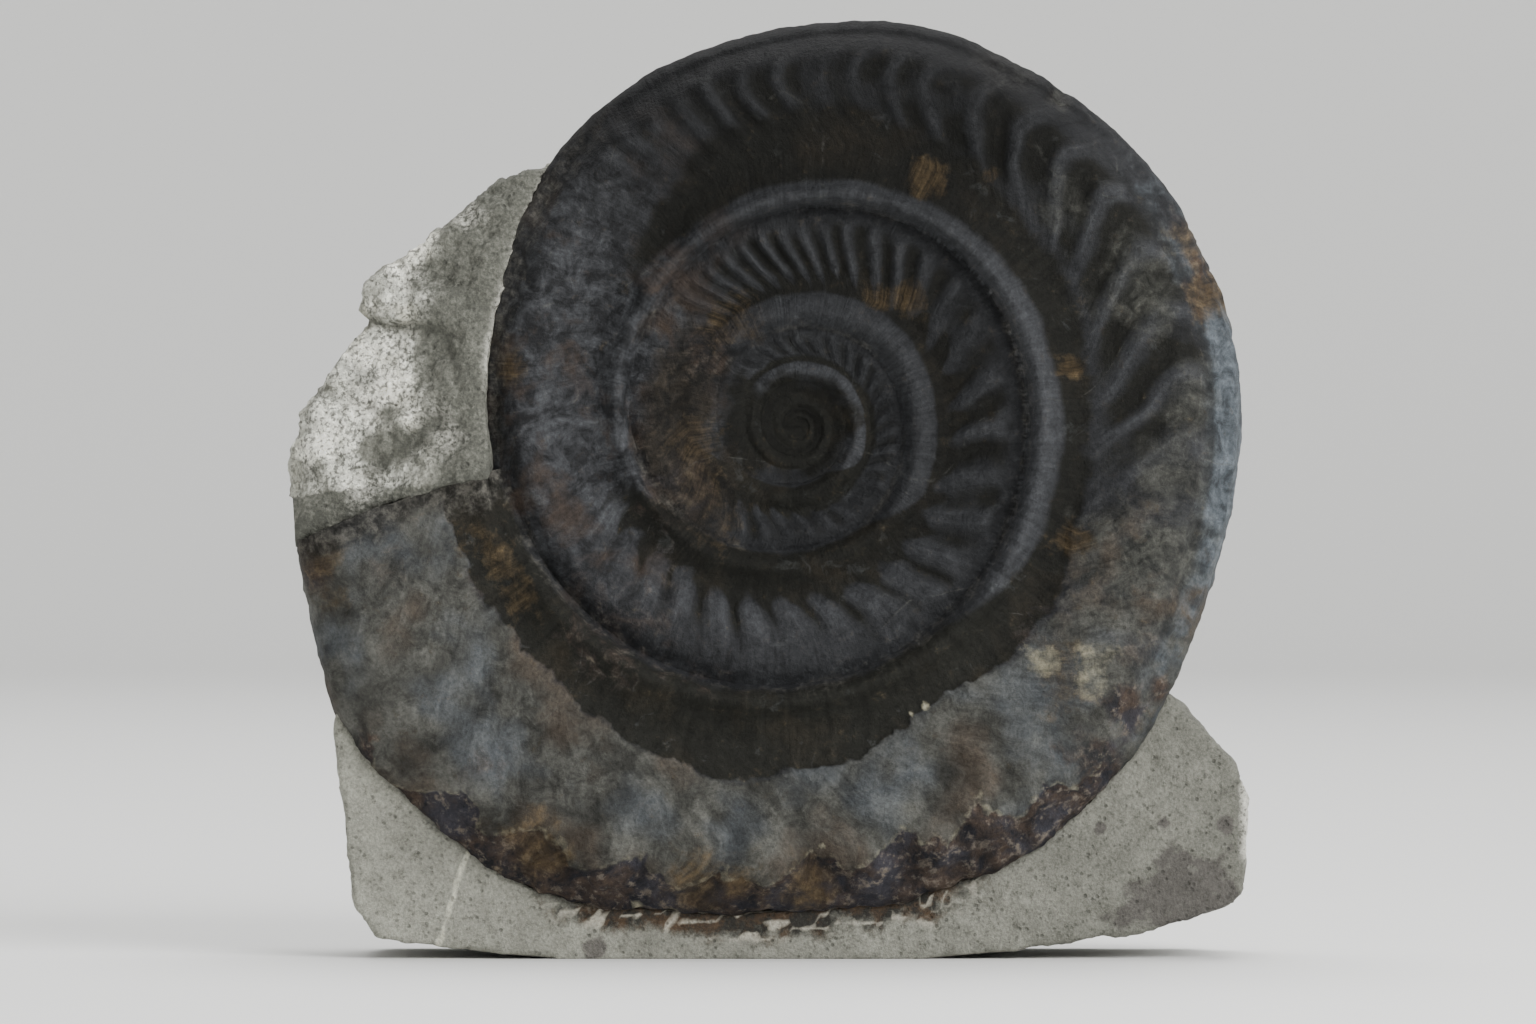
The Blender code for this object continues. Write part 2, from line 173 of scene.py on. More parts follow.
# Outer limit of the olive crust on the last whorl, as radii
CRUST_ANGLES = (
    40, 60, 75, 90, 120, 150, 165, 180, 195, 210, 225, 240, 252, 260, 270, 285, 300, 315, 330, 352,
)
CRUST_OUTER = (
    50.0, 55.5, 63.5, 67.0, 66.5, 64.0, 62.0, 61.0, 62.0, 64.5, 66.5, 65.0, 67.5, 71.5, 73.5,
    76.0, 75.0, 73.5, 75.0, 76.5,
)

# Tips of the scallops where the body chamber's outer layer ends, and how deep the bays are
SCALLOP_ANGLES = (224, 234.5, 245, 256, 267.7, 278.7, 290, 302, 313, 326)
SCALLOP_TIPS = (91.0, 90.0, 88.0, 88.0, 88.5, 93.0, 96.0, 99.5, 105.0, 111.0)
SCALLOP_DEPTH = 6.0

# Spots of iron stain and of calcite on the shell: (x, z, radius, strength)
IRON_SPOTS = (
    (33.4, 166.0, 4.5, 0.9), (23.8, 140.4, 3.5, 0.7), (30.2, 140.4, 4.5, 0.9),
    (47.3, 166.0, 2.5, 0.6), (64.4, 125.4, 3.5, 0.9), (64.4, 89.1, 5.0, 0.9),
    (-55.2, 125.4, 4.5, 0.9), (-59.5, 131.8, 3.5, 0.6), (-14.6, 101.9, 7.0, 0.4),
    (-10.4, 93.4, 7.0, 0.35), (-16.8, 110.5, 7.0, 0.5), (-8.2, 136.1, 7.0, 0.5),
    (-57.4, 84.8, 6.0, 0.5), (-63.8, 89.1, 5.0, 0.35), (-53.1, 76.3, 6.0, 0.45),
    (-48.8, 23.9, 9.0, 0.8), (-14.6, 16.5, 9.0, 0.7), (8.9, 16.5, 7.0, 0.9),
    (-6.1, 16.5, 7.0, 0.7), (-93.7, 84.8, 5.5, 0.8), (-91.6, 76.3, 5.0, 0.5),
    (62.3, 61.3, 8.0, 0.6), (95.4, 142.5, 9.0, 0.8), (90.0, 153.0, 5.5, 0.6),
)
CALCITE_SPOTS = (
    (33.4, 53.9, 1.1, 1.0), (11.4, 24.6, 0.8, 1.0), (30.5, 52.3, 0.7, 0.8),
    (-20.0, 9.5, 1.6, 0.7), (-28.0, 11.5, 1.4, 0.7), (26.0, 9.6, 1.6, 0.6),
    (58.0, 63.5, 4.5, 0.6), (68.5, 62.0, 6.0, 0.6),
)
# Chips and rough places of the rim: (x, z, radius, depth in millimetres)
CHIPS = (
    (96.0, 145.0, 11.0, 1.0), (92.0, 156.0, 7.0, 0.7), (62.3, 183.1, 3.4, 1.6),
    (50.0, 191.0, 9.0, 0.5), (-50.0, 166.0, 6.0, 0.5), (101.0, 131.0, 4.0, 0.8),
)
# Where the purple-brown inner layer shows, and where a grey-green haze lies on the ribs
UMBER_SPOTS = (
    (-30.0, 72.0, 20.0, 0.35), (-12.0, 60.0, 10.0, 0.3), (94.0, 145.0, 10.0, 0.8),
    (90.0, 156.0, 6.0, 0.6), (-78.0, 84.0, 9.0, 0.35), (-95.0, 82.0, 6.0, 0.6),
    (60.0, 70.0, 9.0, 0.35), (78.0, 66.0, 8.0, 0.4), (-60.0, 40.0, 8.0, 0.35),
    (-40.0, 122.0, 5.0, 0.4), (-12.0, 128.0, 9.0, 0.5), (-20.0, 100.0, 11.0, 0.45),
    (76.6, 53.0, 7.0, 0.8), (68.0, 42.0, 8.0, 0.7), (83.5, 57.5, 4.5, 0.7),
)
HAZE_SPOTS = (
    (79.4, 84.8, 15.0, 0.9), (79.2, 142.8, 11.0, 0.7), (89.0, 118.0, 9.0, 0.5),
    (84.0, 102.0, 10.0, 0.6), (62.0, 160.0, 7.0, 0.4),
)

# Pale patches of the lump: weathered crust with painted highlights on its bulges. Brighter
# patches, painted highlights on the bulges' tops: (x, z, radius, strength)
PALE_SPOTS = (
    (-75.5, 147.0, 9.0, 1.0), (-64.4, 158.1, 6.0, 0.8), (-80.4, 123.5, 12.0, 1.0),
    (-69.8, 111.3, 9.0, 0.9), (-84.1, 99.6, 10.0, 0.9), (-93.0, 112.0, 8.0, 1.0),
    (-88.0, 128.0, 8.0, 0.9), (-56.0, 167.0, 6.0, 0.6), (-74.0, 136.0, 8.0, 0.6),
)
HIGHLIGHT_SPOTS = (
    (-77.0, 148.0, 6.5, 1.0), (-64.4, 158.5, 4.5, 0.9), (-86.0, 129.0, 6.0, 0.7),
    (-82.0, 121.0, 7.5, 0.7), (-95.0, 110.0, 5.5, 0.8), (-70.0, 112.0, 5.0, 0.6),
    (-86.0, 99.0, 5.5, 0.6),
)

# Furrows and ledges of the lump, with painted shade along them: (x, z) to (x, z), width, depth,
# step up to the left of the line
CREASES = (
    (-87.0, 136.0, -71.0, 134.0, 1.8, 1.1, 0.7),
    (-85.5, 103.5, -70.0, 115.0, 2.4, 1.0, 0.7),
    (-96.0, 121.0, -82.0, 116.0, 2.0, 0.5, -0.6),
    (-99.0, 105.0, -91.0, 97.0, 1.6, 0.5, 0.4),
    (-80.0, 150.0, -62.0, 140.0, 2.0, 0.5, -0.7),
    (-70.0, 134.0, -62.0, 118.0, 2.6, 0.6, 0.6),
)
# Calcite veins in the block: (x, z) to (x, z)
VEINS = ((-64.4, 21.8, -70.2, 2.6), (-63.0, 24.0, -64.4, 21.8))
# The flaky joint under the shell, and the thin lip of stone beside it at the left
FRINGE_ANGLES = (244, 256, 290, 302)
FLAKE_STEP = 1.6
LIP_ANGLES = (2, 10, 42, 55)
# Where the bed's edge laps over the shell: at the left, and at the mouth
LAP_ANGLES = (-20, -8, 62, 75)
MOUTH_LAP = (350, 354)
# The lump's front, which has finer faces: right, lower and rear limit
LUMP_RIGHT, LUMP_LOW, LUMP_BACK = -42.0, 84.0, 8.0
# The bright strip on the block's right side
STRIP_X = (99.8, 101.6)
STRIP_HEIGHTS = (18, 24, 38, 44)
# How far the broken surface may move in depth, in millimetres
MOST_DEPTH = 1.2
# Stains of the block: (x, z, radius, strength)
STONE_STAINS = (
    (88.0, 14.0, 13.0, 0.9), (78.0, 10.0, 8.0, 0.7), (-36.0, 2.6, 3.5, 1.0),
    (71.0, 27.0, 1.8, 1.0), (84.0, 29.0, 1.8, 1.0), (97.5, 28.0, 2.5, 1.0), (93.0, 19.0, 7.0, 0.6),
)

# The stage, in metres: the floor's flat part, its rise and its edge, and the camera's height
FLOOR_RADIUS = 3.0
RISE_RADIUS = 0.7
EDGE_HEIGHT = 1.1
CAMERA_HEIGHT = 0.0951


def linear(colour):
    """An sRGB hex value, such as #808080, as linear red, green, blue and full alpha."""
    parts = (int(colour[i : i + 2], 16) / 255 for i in (1, 3, 5))
    return (*(c / 12.92 if c <= 0.04045 else ((c + 0.055) / 1.055) ** 2.4 for c in parts), 1.0)


def through(places, values, at):
    """A smooth curve through the values at their places, read at each number of `at`."""
    places, values = np.asarray(places, float), np.asarray(values, float)
    slopes = np.gradient(values, places)
    at = np.clip(at, places[0], places[-1])
    i = np.clip(np.searchsorted(places, at, side="right") - 1, 0, len(places) - 2)
    width = places[i + 1] - places[i]
    t = (at - places[i]) / width
    return (
        (2 * t**3 - 3 * t**2 + 1) * values[i]
        + (t**3 - 2 * t**2 + t) * width * slopes[i]
        + (3 * t**2 - 2 * t**3) * values[i + 1]
        + (t**3 - t**2) * width * slopes[i + 1]
    )


def ease(low, high, at):
    """Goes smoothly from 0 at `low` to 1 at `high`."""
    t = np.clip((at - low) / (high - low), 0.0, 1.0)
    return t * t * (3 - 2 * t)


def span(at, start, full_from, full_to, end):
    """1 between the two middle numbers, 0 outside the outer two."""
    return ease(start, full_from, at) * (1 - ease(full_to, end, at))


def fading(away, width):
    """1 at no distance, falling off over the width to both sides."""
    return np.exp(-((away / width) ** 2))


def grain(points, size, octaves, seed):
    """Fractal noise at each point, about -1 to 1, with lumps of the given size in millimetres."""
    shift = Vector((seed * 17.3, seed * 5.1, seed * 11.7))
    scale = 1 / (size * MM)
    return np.array(
        [noise.fractal(Vector(p) * scale + shift, 0.9, 2.1, octaves) for p in points.tolist()]
    )


def off_line(x, z, x0, z0, x1, z1):
    """How far each point lies from a line, and how far to the left of it."""
    along_x, along_z = x1 - x0, z1 - z0
    run = np.clip(((x - x0) * along_x + (z - z0) * along_z) / (along_x**2 + along_z**2), 0, 1)
    off_x, off_z = x - x0 - run * along_x, z - z0 - run * along_z
    side = (along_x * off_z - along_z * off_x) / math.hypot(along_x, along_z)
    return np.hypot(off_x, off_z), side


def about_axis(points):
    """Distance from the coil's axis in millimetres, and the angle round it in degrees."""
    x, z = points[:, 0] / MM - AXIS_X, points[:, 2] / MM - AXIS_Z
    return np.hypot(x, z), np.degrees(np.arctan2(z, -x))


def seam(angle):
    """Radius of the seam under a whorl."""
    knots = START_ANGLE + SEAM_STEP * np.arange(len(SEAM_RADIUS))
    return through(knots, SEAM_RADIUS, angle)


def keel(angle):
    """Outer radius of the last turn."""
    knots = KEEL_START + KEEL_STEP * np.arange(len(KEEL_RADIUS))
    return through(knots, KEEL_RADIUS, angle)


def half_thickness(angle):
    """Half the thickness of a whorl at its thickest."""
    return through(THICKNESS_ANGLES, HALF_THICKNESS, angle)


def cover(angle):
    """Radius and height of the line where the next whorl starts, or would start, on this one."""
    open_start = END_ANGLE - TURN
    fade = np.exp(-np.maximum(angle - open_start, 0.0) / COVER_FADE)
    first_drop = keel(open_start) - seam(END_ANGLE)
    open_radius = keel(angle) - KEEL_DROP - (first_drop - KEEL_DROP) * fade
    first_height = SEAM_HEIGHT * half_thickness(END_ANGLE) / half_thickness(open_start)
    open_height = half_thickness(angle) * (RIM_SHOULDER + (first_height - RIM_SHOULDER) * fade)
    covered = angle <= open_start
    radius = np.where(covered, seam(angle + TURN), open_radius)
    height = np.where(covered, SEAM_HEIGHT * half_thickness(angle + TURN), open_height)
    return radius, height


def zones(angle):
    """Where the smooth band ends and where the ribs begin, as shares of the width."""
    band = np.interp(angle, ZONE_ANGLES, BAND_SHARE)
    return band, np.interp(angle, ZONE_ANGLES, RIB_SHARE)


def swept(angle, across):
    """The angle with the ribs' sickle curve taken out of it."""
    lean = np.interp(angle, RIB_LEAN_ANGLES, RIB_LEANS)
    inward = lean * (np.clip(0.85 - across, 0.0, 0.5) / 0.5) ** 1.5
    return angle - inward - RIB_HOOK * ease(0.72, 1.0, across) * ease(60, 110, angle)


def rib_phase(angle, across, bend):
    """Counts the ribs along the coil: a whole number on each crest."""
    angle = swept(angle, across)
    inner_count = int((MIDDLE_RIBS[0] + 720) // INNER_RIB_STEP)
    inner = [MIDDLE_RIBS[0] - INNER_RIB_STEP * n for n in range(inner_count, 0, -1)]
    crests = np.array(inner + list(MIDDLE_RIBS[:-1]) + list(OUTER_RIBS))
    before = np.minimum(angle - crests[0], 0.0) / INNER_RIB_STEP
    after = np.maximum(angle - crests[-1], 0.0) / INNER_RIB_STEP
    return np.interp(angle, crests, np.arange(len(crests))) + before + after + RIB_BEND * bend


def uneven(angle, across):
    """Two slow noises over the flattened coil: one bends the ribs, the other varies them."""
    start, (end, _) = seam(angle), cover(angle)
    flat = put(angle, start + across * (end - start), 0.0 * across)
    return grain(flat, 17.0, 3, 8), grain(flat, 12.0, 3, 9)


def rib_crest(phase, angle):
    """1 on a crest and 0 between; narrow crests on the last turn, broad ones at its start."""
    sharp = 1.0 + 1.1 * ease(60, 115, angle) - 0.6 * span(angle, -170, -130, -20, 15)
    return (0.5 + 0.5 * np.cos(2 * math.pi * phase)) ** sharp


def swellings(angle, bend):
    """The broad swellings of the body chamber, from -1 between them to 1 on each."""
    return np.cos(2 * math.pi * (angle / BROAD_STEP + 0.5 * bend))


def rib_strength(angle, across, swell):
    """Height of the ribs in millimetres: they fade out early on the lower half turn."""
    short = span(angle, -145, -110, -25, 10) * ease(0.52, 0.74, across)
    height = np.interp(angle, RIB_ANGLES, RIB_HEIGHTS)
    return height * np.clip(1 + 1.1 * swell, 0.15, 1.8) * (1 - 0.8 * short)


def on_shoulder(angle, across):
    """1 along the line where the flank turns over to the keel, on the right side."""
    return fading(across - SHOULDER_PLACE, 0.022) * span(angle, *SHOULDER_ANGLES)


def seam_fill(angle, away):
    """Height of the dust beside the seam under a whorl, `away` being a share of the width."""
    depth = SEAM_FILL * half_thickness(angle) * (1 - ease(*FILL_END, angle))
    return depth * np.exp(-away / FILL_REACH)


def flank_height(angle, across, bend, swell):
    """Height of the flank over the mid-plane. `across` runs from the seam to the cover line."""
    band, ribs_from = zones(angle)
    place = np.where(
        across < band,
        BAND_PLACE * across / band,
        np.where(
            across < ribs_from,
            BAND_PLACE + (GROOVE_PLACE - BAND_PLACE) * (across - band) / (ribs_from - band),
            GROOVE_PLACE + (1 - GROOVE_PLACE) * (across - ribs_from) / (1 - ribs_from),
        ),
    )
    half = half_thickness(angle)
    _, cover_height = cover(angle)
    section = through(SECTION_PLACES, SECTION_HEIGHTS, place)
    section += (cover_height / half - SECTION_HEIGHTS[-1]) * ease(0.84, 1.0, place)
    # The band flattens out towards the mouth
    section -= 0.3 * ease(322, 348, angle) * span(place, 0.0, 0.1, 0.22, 0.34)
    on_ribs = ease(ribs_from - 0.03, ribs_from + 0.12, across) * (1 - ease(*RIB_END, across))
    wave = rib_crest(rib_phase(angle, across, bend), angle) - 0.45
    on_chamber = span(angle, 228, 245, 335, 350) * span(across, 0.4, 0.65, 0.88, 0.99)
    swelling = BROAD_HEIGHT * swellings(angle, bend) * on_chamber
    groove = SHOULDER_GROOVE * on_shoulder(angle, across)
    ribs = rib_strength(angle, across, swell) * wave * on_ribs
    dust = seam_fill(angle, across)
    dust += np.where(angle <= END_ANGLE - TURN, seam_fill(angle + TURN, 1 - across), 0.0)
    return half * section + ribs + swelling - groove + dust


def put(angle, radius, height):
    """Points of the shell in metres, one to a row."""
    turned = np.radians(angle)
    x = AXIS_X - radius * np.cos(turned)
    z = AXIS_Z + radius * np.sin(turned)
    return np.stack([x, MID_Y - height, z], axis=-1) * MM


def mouth_angle(angle, across):
    """The rows lean back towards the mouth, as its broken edge does."""
    return angle - MOUTH_SLANT * across * ease(END_ANGLE - MOUTH_REACH, END_ANGLE, angle)


def flank_points(angle, across, bend, swell):
    """The flank from the seam (0) to the cover line (1)."""
    start, (end, _) = seam(angle), cover(angle)
    height = flank_height(angle, across, bend, swell)
    return put(mouth_angle(angle, across), start + across * (end - start), height)


def bedded(angle):
    """1 where the rim stands in the block, 0 where it is free."""
    return span(angle, *BEDDED_ANGLES)


def rim_points(angle, along, bend, swell):
    """The rim from the cover line over the keel (0.5) to the flat rear (1)."""
    start, top = cover(angle)
    outer = keel(angle)
    swing = np.clip(along, 0.0, 0.5) * math.pi
    front_height = top * np.cos(swing)
    stands_out = ease(BLOCK_HEIGHT, np.maximum(top, BLOCK_HEIGHT + 1.0), front_height)
    drop = (outer - start) * (1 - np.sin(swing)) * (1 - bedded(angle) * (1 - stands_out))
    back = np.clip(along - 0.5, 0.0, 0.5) * 2
    radius = outer - drop - REAR_TUCK * back**2 * (1 - bedded(angle))
    height = np.where(along <= 0.5, front_height, -REAR_DEPTH * back)
    return put(mouth_angle(angle, 1.0 + 0 * along), radius, height)


def spotted(points, spots, wobble=0.0):
    """How far into a spot each point lies, from 0 to the spot's strength; less far behind."""
    found = np.zeros(len(points))
    in_front = 1 - ease(-2.0, 9.0, points[:, 1] / MM - MID_Y + 6 * wobble)
    for x, z, radius, strength in spots:
        away = np.hypot(points[:, 0] / MM - x, points[:, 2] / MM - z) + 0.55 * radius * wobble
        found = np.maximum(found, strength * (1 - ease(0.15 * radius, 1.3 * radius, away)))
    return found * in_front


def scalloped(angle, radius, wobble):
    """How far past the scalloped end of the outer layer each point lies, in millimetres."""
    count = np.interp(angle + 2.5 * wobble, SCALLOP_ANGLES, range(len(SCALLOP_ANGLES)))
    bays = 1 - np.abs(2 * (count % 1.0) - 1)
    edge = np.interp(angle, SCALLOP_ANGLES, SCALLOP_TIPS) + SCALLOP_DEPTH * bays**0.8
    return radius - edge + 3.0 * wobble


def on_last_turn(angle):
    """0 on the inner turns and 1 on the last."""
    return ease(-30, 25, angle)


def on_lower_side(angle):
    """1 on the lower side of the inner turns, and on the last turn from there to its end."""
    return np.maximum(span(angle % TURN, *ONE_TURN_LOWER), ease(*ONE_TURN_LOWER[:2], angle))


def past_crust(angle, radius, wobble):
    """How far past the crust's limit on the last turn each point lies, in millimetres."""
    return radius - np.interp(angle, CRUST_ANGLES, CRUST_OUTER) + 2.6 * wobble


def crusted(angle, across, radius, crest, wobble):
    """The crust: up to a radius on the last turn, and to the ribs, in tongues, before it."""
    band, ribs_from = zones(angle)
    last = on_last_turn(angle)
    inner = band * (1 - on_lower_side(angle)) + 0.02 * wobble
    soft = 1 - ease(195, 225, angle)
    past_limit = past_crust(angle, radius, wobble)
    within_last = 1 - ease(-0.6 - 2.5 * soft, 1.2 + 3.5 * soft, past_limit)
    tongues = 0.16 * (crest - 0.5) * ease(-500, -400, angle)
    within_old = 1 - ease(-0.07, 0.12, across - ribs_from + 0.08 * wobble + tongues)
    on_left = span(angle, -35, -10, 30, 60)
    crust = ease(-0.03, 0.07, across - inner) * (within_old * (1 - last) + within_last * last)
    return crust * (1 - 0.8 * on_left)


def shining(angle, across, heart, wobble):
    """The rubbed bands, painted lighter but not on the lower side: polish and painted highlight."""
    band, _ = zones(angle)
    lower = on_lower_side(angle)
    inner = band * (1 - lower) + 0.02 * wobble
    polish_and_highlight = (1 - ease(-0.1, 0.12, across - inner)) * (1 - lower) * (1 - 0.6 * heart)
    return polish_and_highlight * (0.65 + 0.35 * on_last_turn(angle))


def dimmed(angle, across):
    """The darker stretches: at the top, in the second turn, and near the middle."""
    _, ribs_from = zones(angle)
    on_ribs = ease(-0.05, 0.1, across - ribs_from)
    dim = span(angle, *DARK_TOP) * (0.7 + 0.3 * on_ribs) + 0.6 * span(angle, *DARK_SECOND_TURN)
    dim += 0.5 * span(angle, *DARK_RIM) * ease(0.72, 1.0, across)
    dim += 0.6 * (1 - ease(-430, -370, angle)) * on_ribs
    return dim


def dusted(angle, across, radius, bend, wobble):
    """Stone dust in the seams, on the rim at the left and beside the mouth."""
    by_next = 0.4 * ease(0.93, 1.0, across) * (1 - on_last_turn(angle))
    dust = 0.5 * fading(across, FILL_REACH) + by_next
    dust = dust * ease(14, 20, radius) * np.clip(0.7 + 1.5 * bend, 0.2, 1.0)
    dust = np.maximum(dust, 0.6 * span(angle, *DUSTY_RIM) * ease(0.86, 1.0, across))
    to_mouth = np.radians(END_ANGLE - angle) * radius
    return np.maximum(dust, ease(9.0, 0.5, to_mouth + 5 * wobble))


def flank_marks(angle, across, points, bend, swell):
    """What the shell's finish reads at each point: mostly shares from 0 to 1. The rib count goes
    on along the coil, the shade is a factor, and the knobs go from -1 to 1."""
    wobble = 0.7 * grain(points, 13.0, 4, 5) + 0.5 * grain(points, 4.5, 3, 6)
    radius, _ = about_axis(points)
    _, ribs_from = zones(angle)
    phase = rib_phase(angle, across, bend)
    crest = rib_crest(phase, angle)
    ribbed = ease(ribs_from - 0.05, ribs_from + 0.08, across)
    ribbed = ribbed * np.clip(rib_strength(angle, across, swell), 0, 1)
    ribbed = ribbed * (1 - ease(*RIB_END, across + 0.02 * wobble))
    # The flattened left of the inner turns: faded in a ring, with crust inside it
    bruised = span((angle + 9 * wobble + 180) % TURN - 180, *BRUISED_LEFT)
    faded = bruised * span(radius + 3 * wobble, 17, 22, 29, 37)
    crust = crusted(angle, across, radius, crest, wobble)
    crust = np.maximum(crust, 0.75 * bruised * span(radius + 4 * wobble, 3, 8, 15, 23))
    heart = 1 - ease(8.0, 17.0, radius + 4.5 * wobble)
    # The body chamber is worn past the crust
    softer = 1 + 3.5 * np.clip(1.6 * bend, 0, 1)
    past_limit = past_crust(angle, radius, wobble)
    worn = ease(*WORN_FROM, angle + 22 * wobble) * ease(-0.6 * softer, 1.2 * softer, past_limit)
    dim = dimmed(angle, across)
    shade = np.maximum(1 - 0.5 * dim, 0.3) * (1 - 0.3 * faded)
    shade = shade + 0.5 * ease(205, 240, angle) * crust
    from_left = np.abs((angle - 10 + 180) % TURN - 180)
    # The outer layer ends in scallops along the lower rim
    ended = scalloped(angle, radius, wobble)
    on_edge = span(angle, *SCALLOPED_ANGLES)
    knobs = swellings(angle, bend) * span(angle, *KNOB_ANGLES)
    on_shell_rim = ease(0.84, 0.97, across + 0.03 * wobble)
    return {
        "rib_count": phase,
        # Rib crests painted lighter: partly rubbed polish, partly a painted highlight
        "crest": crest * ribbed * (1 - ease(-0.3, 0.5, ended) * on_edge) * (1 - 0.25 * dim),
        "furrow": (1 - crest) * ribbed,
        # The crust colour also lies on the middle of the coil, as painted shade in its hollow
        "crust": np.maximum(crust, 0.8 * heart),
        "worn": worn,
        # Bands painted lighter, not on the lower side: rubbed polish and painted highlight
        "polish_and_highlight": shining(angle, across, heart, wobble),
        "mottled": 1 - ease(30, 75, from_left + 14 * wobble),
        # A painted highlight on the rim at the right, on the side the right lamp lights
        "rim_highlight": span(angle + 8 * wobble, *RIM_HIGHLIGHT_ANGLES) * on_shell_rim,
        # Painted shade in the groove along the shoulder
        "shoulder": on_shoulder(angle, across),
        "knob": knobs * span(across, 0.3, 0.6, 0.95, 1.0),
        "bared": ease(-0.6, 1.2, ended) * on_edge,
        "shade": shade,
        "hazed": spotted(points, HAZE_SPOTS, wobble) * ease(-8, 30, angle),
        "faded": faded,
        "dust": dusted(angle, across, radius, bend, wobble),
        "flaked": fading(ended, 0.7) * on_edge,
    }


def read(parts, what, each=3, kind=float):
    """What a mesh holds for every one of its points, edges or faces, with a row for each."""
    flat = np.empty(len(parts) * each, kind)
    parts.foreach_get(what, flat)
    return flat.reshape(-1, each)


def choose(mesh, kind, wanted):
    """Selects the wanted points, edges or faces, and nothing else."""
    for name in ("vertices", "edges", "polygons"):
        parts = getattr(mesh, name)
        parts.foreach_set("select", wanted if name == kind else np.zeros(len(parts), bool))


@contextmanager
def editing():
    """Edit mode on the active object, then object mode again."""
    bpy.ops.object.mode_set(mode="EDIT")
    yield
    bpy.ops.object.mode_set(mode="OBJECT")


def weld(closer_than):
    """Joins points of the active object that lie closer than this, in metres."""
    with editing():
        bpy.ops.mesh.select_all(action="SELECT")
        bpy.ops.mesh.remove_doubles(threshold=closer_than)


def select_only(thing):
    bpy.ops.object.select_all(action="DESELECT")
    thing.select_set(True)
    bpy.context.view_layer.objects.active = thing


def wound_grid(name, first_angle, last_angle, row_step, columns, points_at, along_rim):
    """A flat grid wound into the coil, with what the finish reads stored on its points."""
    rows = round((last_angle - first_angle) / row_step)
    bpy.ops.object.select_all(action="DESELECT")
    bpy.ops.mesh.primitive_grid_add(x_subdivisions=rows, y_subdivisions=columns, size=2)
    grid = bpy.context.object
    grid.name = name
    mesh = grid.data
    flat = read(mesh.vertices, "co")
    angle = first_angle + row_step * np.round((flat[:, 0] + 1) / 2 * rows)
    across = np.round((flat[:, 1] + 1) / 2 * columns) / columns
    on_flank = 1.0 + 0 * across if along_rim else across
    bend, swell = uneven(angle, on_flank)
    points = points_at(angle, across, bend, swell)
    mesh.vertices.foreach_set("co", points.ravel())
    store(mesh, flank_marks(angle, on_flank, points, bend, swell))
    return grid


def store(mesh, marks):
    """Stores each mark on the mesh's points, for the finish to read."""
    for mark, values in marks.items():
        layer = mesh.attributes.new(mark, "FLOAT", "POINT")
        layer.data.foreach_set("value", np.asarray(values, np.float32))


def read_mark(mesh, mark):
    return read(mesh.attributes[mark].data, "value", 1, np.float32)[:, 0]


def length_setting(name, description, size):
    """A setting for a length, from its size in millimetres."""
    return FloatProperty(
        name=name, description=description, default=size * MM, unit="LENGTH", precision=5
    )


def colour_setting(name, description, colour):
    """A setting for a colour, from its sRGB hex value."""
    return FloatVectorProperty(
        name=name, description=description, default=linear(colour), subtype="COLOR", size=4
    )


class ShellSettings(bpy.types.PropertyGroup):
    row_step: FloatProperty(
        name="Row step", description="Turn of the coil from row to row, in degrees",
        default=0.5, min=0.25, max=4.0,
    )
    columns: IntProperty(
        name="Columns", description="Faces across a whorl", default=44, min=8, max=80
    )
    rim_columns: IntProperty(
        name="Rim columns", description="Faces from the shoulder to the rear", default=14, min=6
    )
    faces: IntProperty(
        name="Triangles", description="Most triangles in the finished shell",
        default=190000, min=10000,
    )
    dents: length_setting("Dents", "Height of the uneven wear", 0.35)
    layer: length_setting("Layer", "Thickness of the outer layer where it ends", 0.55)
    furrow_colour: colour_setting("Furrows", "Olive-black crust in the furrows", "#181815")
    rib_colour: colour_setting("Ribs", "Blue-grey of the rubbed ribs and bands", "#2b2c2e")
    worn_colour: colour_setting("Worn shell", "Grey of the worn body chamber", "#474743")
    umber_colour: colour_setting("Umber", "Purple-brown inner layer, bared in patches", "#423831")
    iron_colour: colour_setting("Iron stain", "Ochre of the iron stains", "#483c29")


class StoneSettings(bpy.types.PropertyGroup):
    grain_size: length_setting("Face size", "Side of the stone's faces", 1.18)
    roughness: length_setting("Roughness height", "Height of the broken surface", 0.7)
    fresh_colour: colour_setting("Fresh stone", "Grey-green of the broken block", "#95958a")
    pale_colour: colour_setting("Weathered stone", "Pale crust of the lump", "#e4e4d8")
    stain_colour: colour_setting("Stain", "Purple-brown stain at the lower right", "#67645f")


class StageSettings(bpy.types.PropertyGroup):
    lens: FloatProperty(
        name="Lens", description="Focal length of the camera, in millimetres", default=180.0
    )
    key_power: FloatProperty(
        name="Key light", description="Power of the lamp at the upper right, in watts",
        default=20.0,
    )
    floor_colour: colour_setting("Floor", "Pale paper sweep", "#f2f2f0")


# Kinds of node. A mark is one of the values stored on the points. A range takes its value at
# input 0 and goes from 1 and 2 to 3 and 4. A mix of colours takes its share at 0 and the two
# colours at 6 and 7, and gives the mixed one at output 2.
NOISE = "ShaderNodeTexNoise"
MATH = "ShaderNodeMath"
VECTOR = "ShaderNodeVectorMath"
RANGE = "ShaderNodeMapRange"
MIX = "ShaderNodeMix"
MARK = "ShaderNodeAttribute"
# The fine relief of both materials
BUMP = {"Strength": 0.7, "Distance": 0.6 * MM}


def add(tree, kind, inputs, out=0, **settings):
    """A new node with its settings and links; gives back one of its outputs."""
    made = tree.nodes.new(kind)
    for name, value in settings.items():
        setattr(made, name, value)
    for name, value in inputs.items():
        if isinstance(value, bpy.types.NodeSocket):
            tree.links.new(value, made.inputs[name])
        else:
            made.inputs[name].default_value = value
    return made.outputs[out]


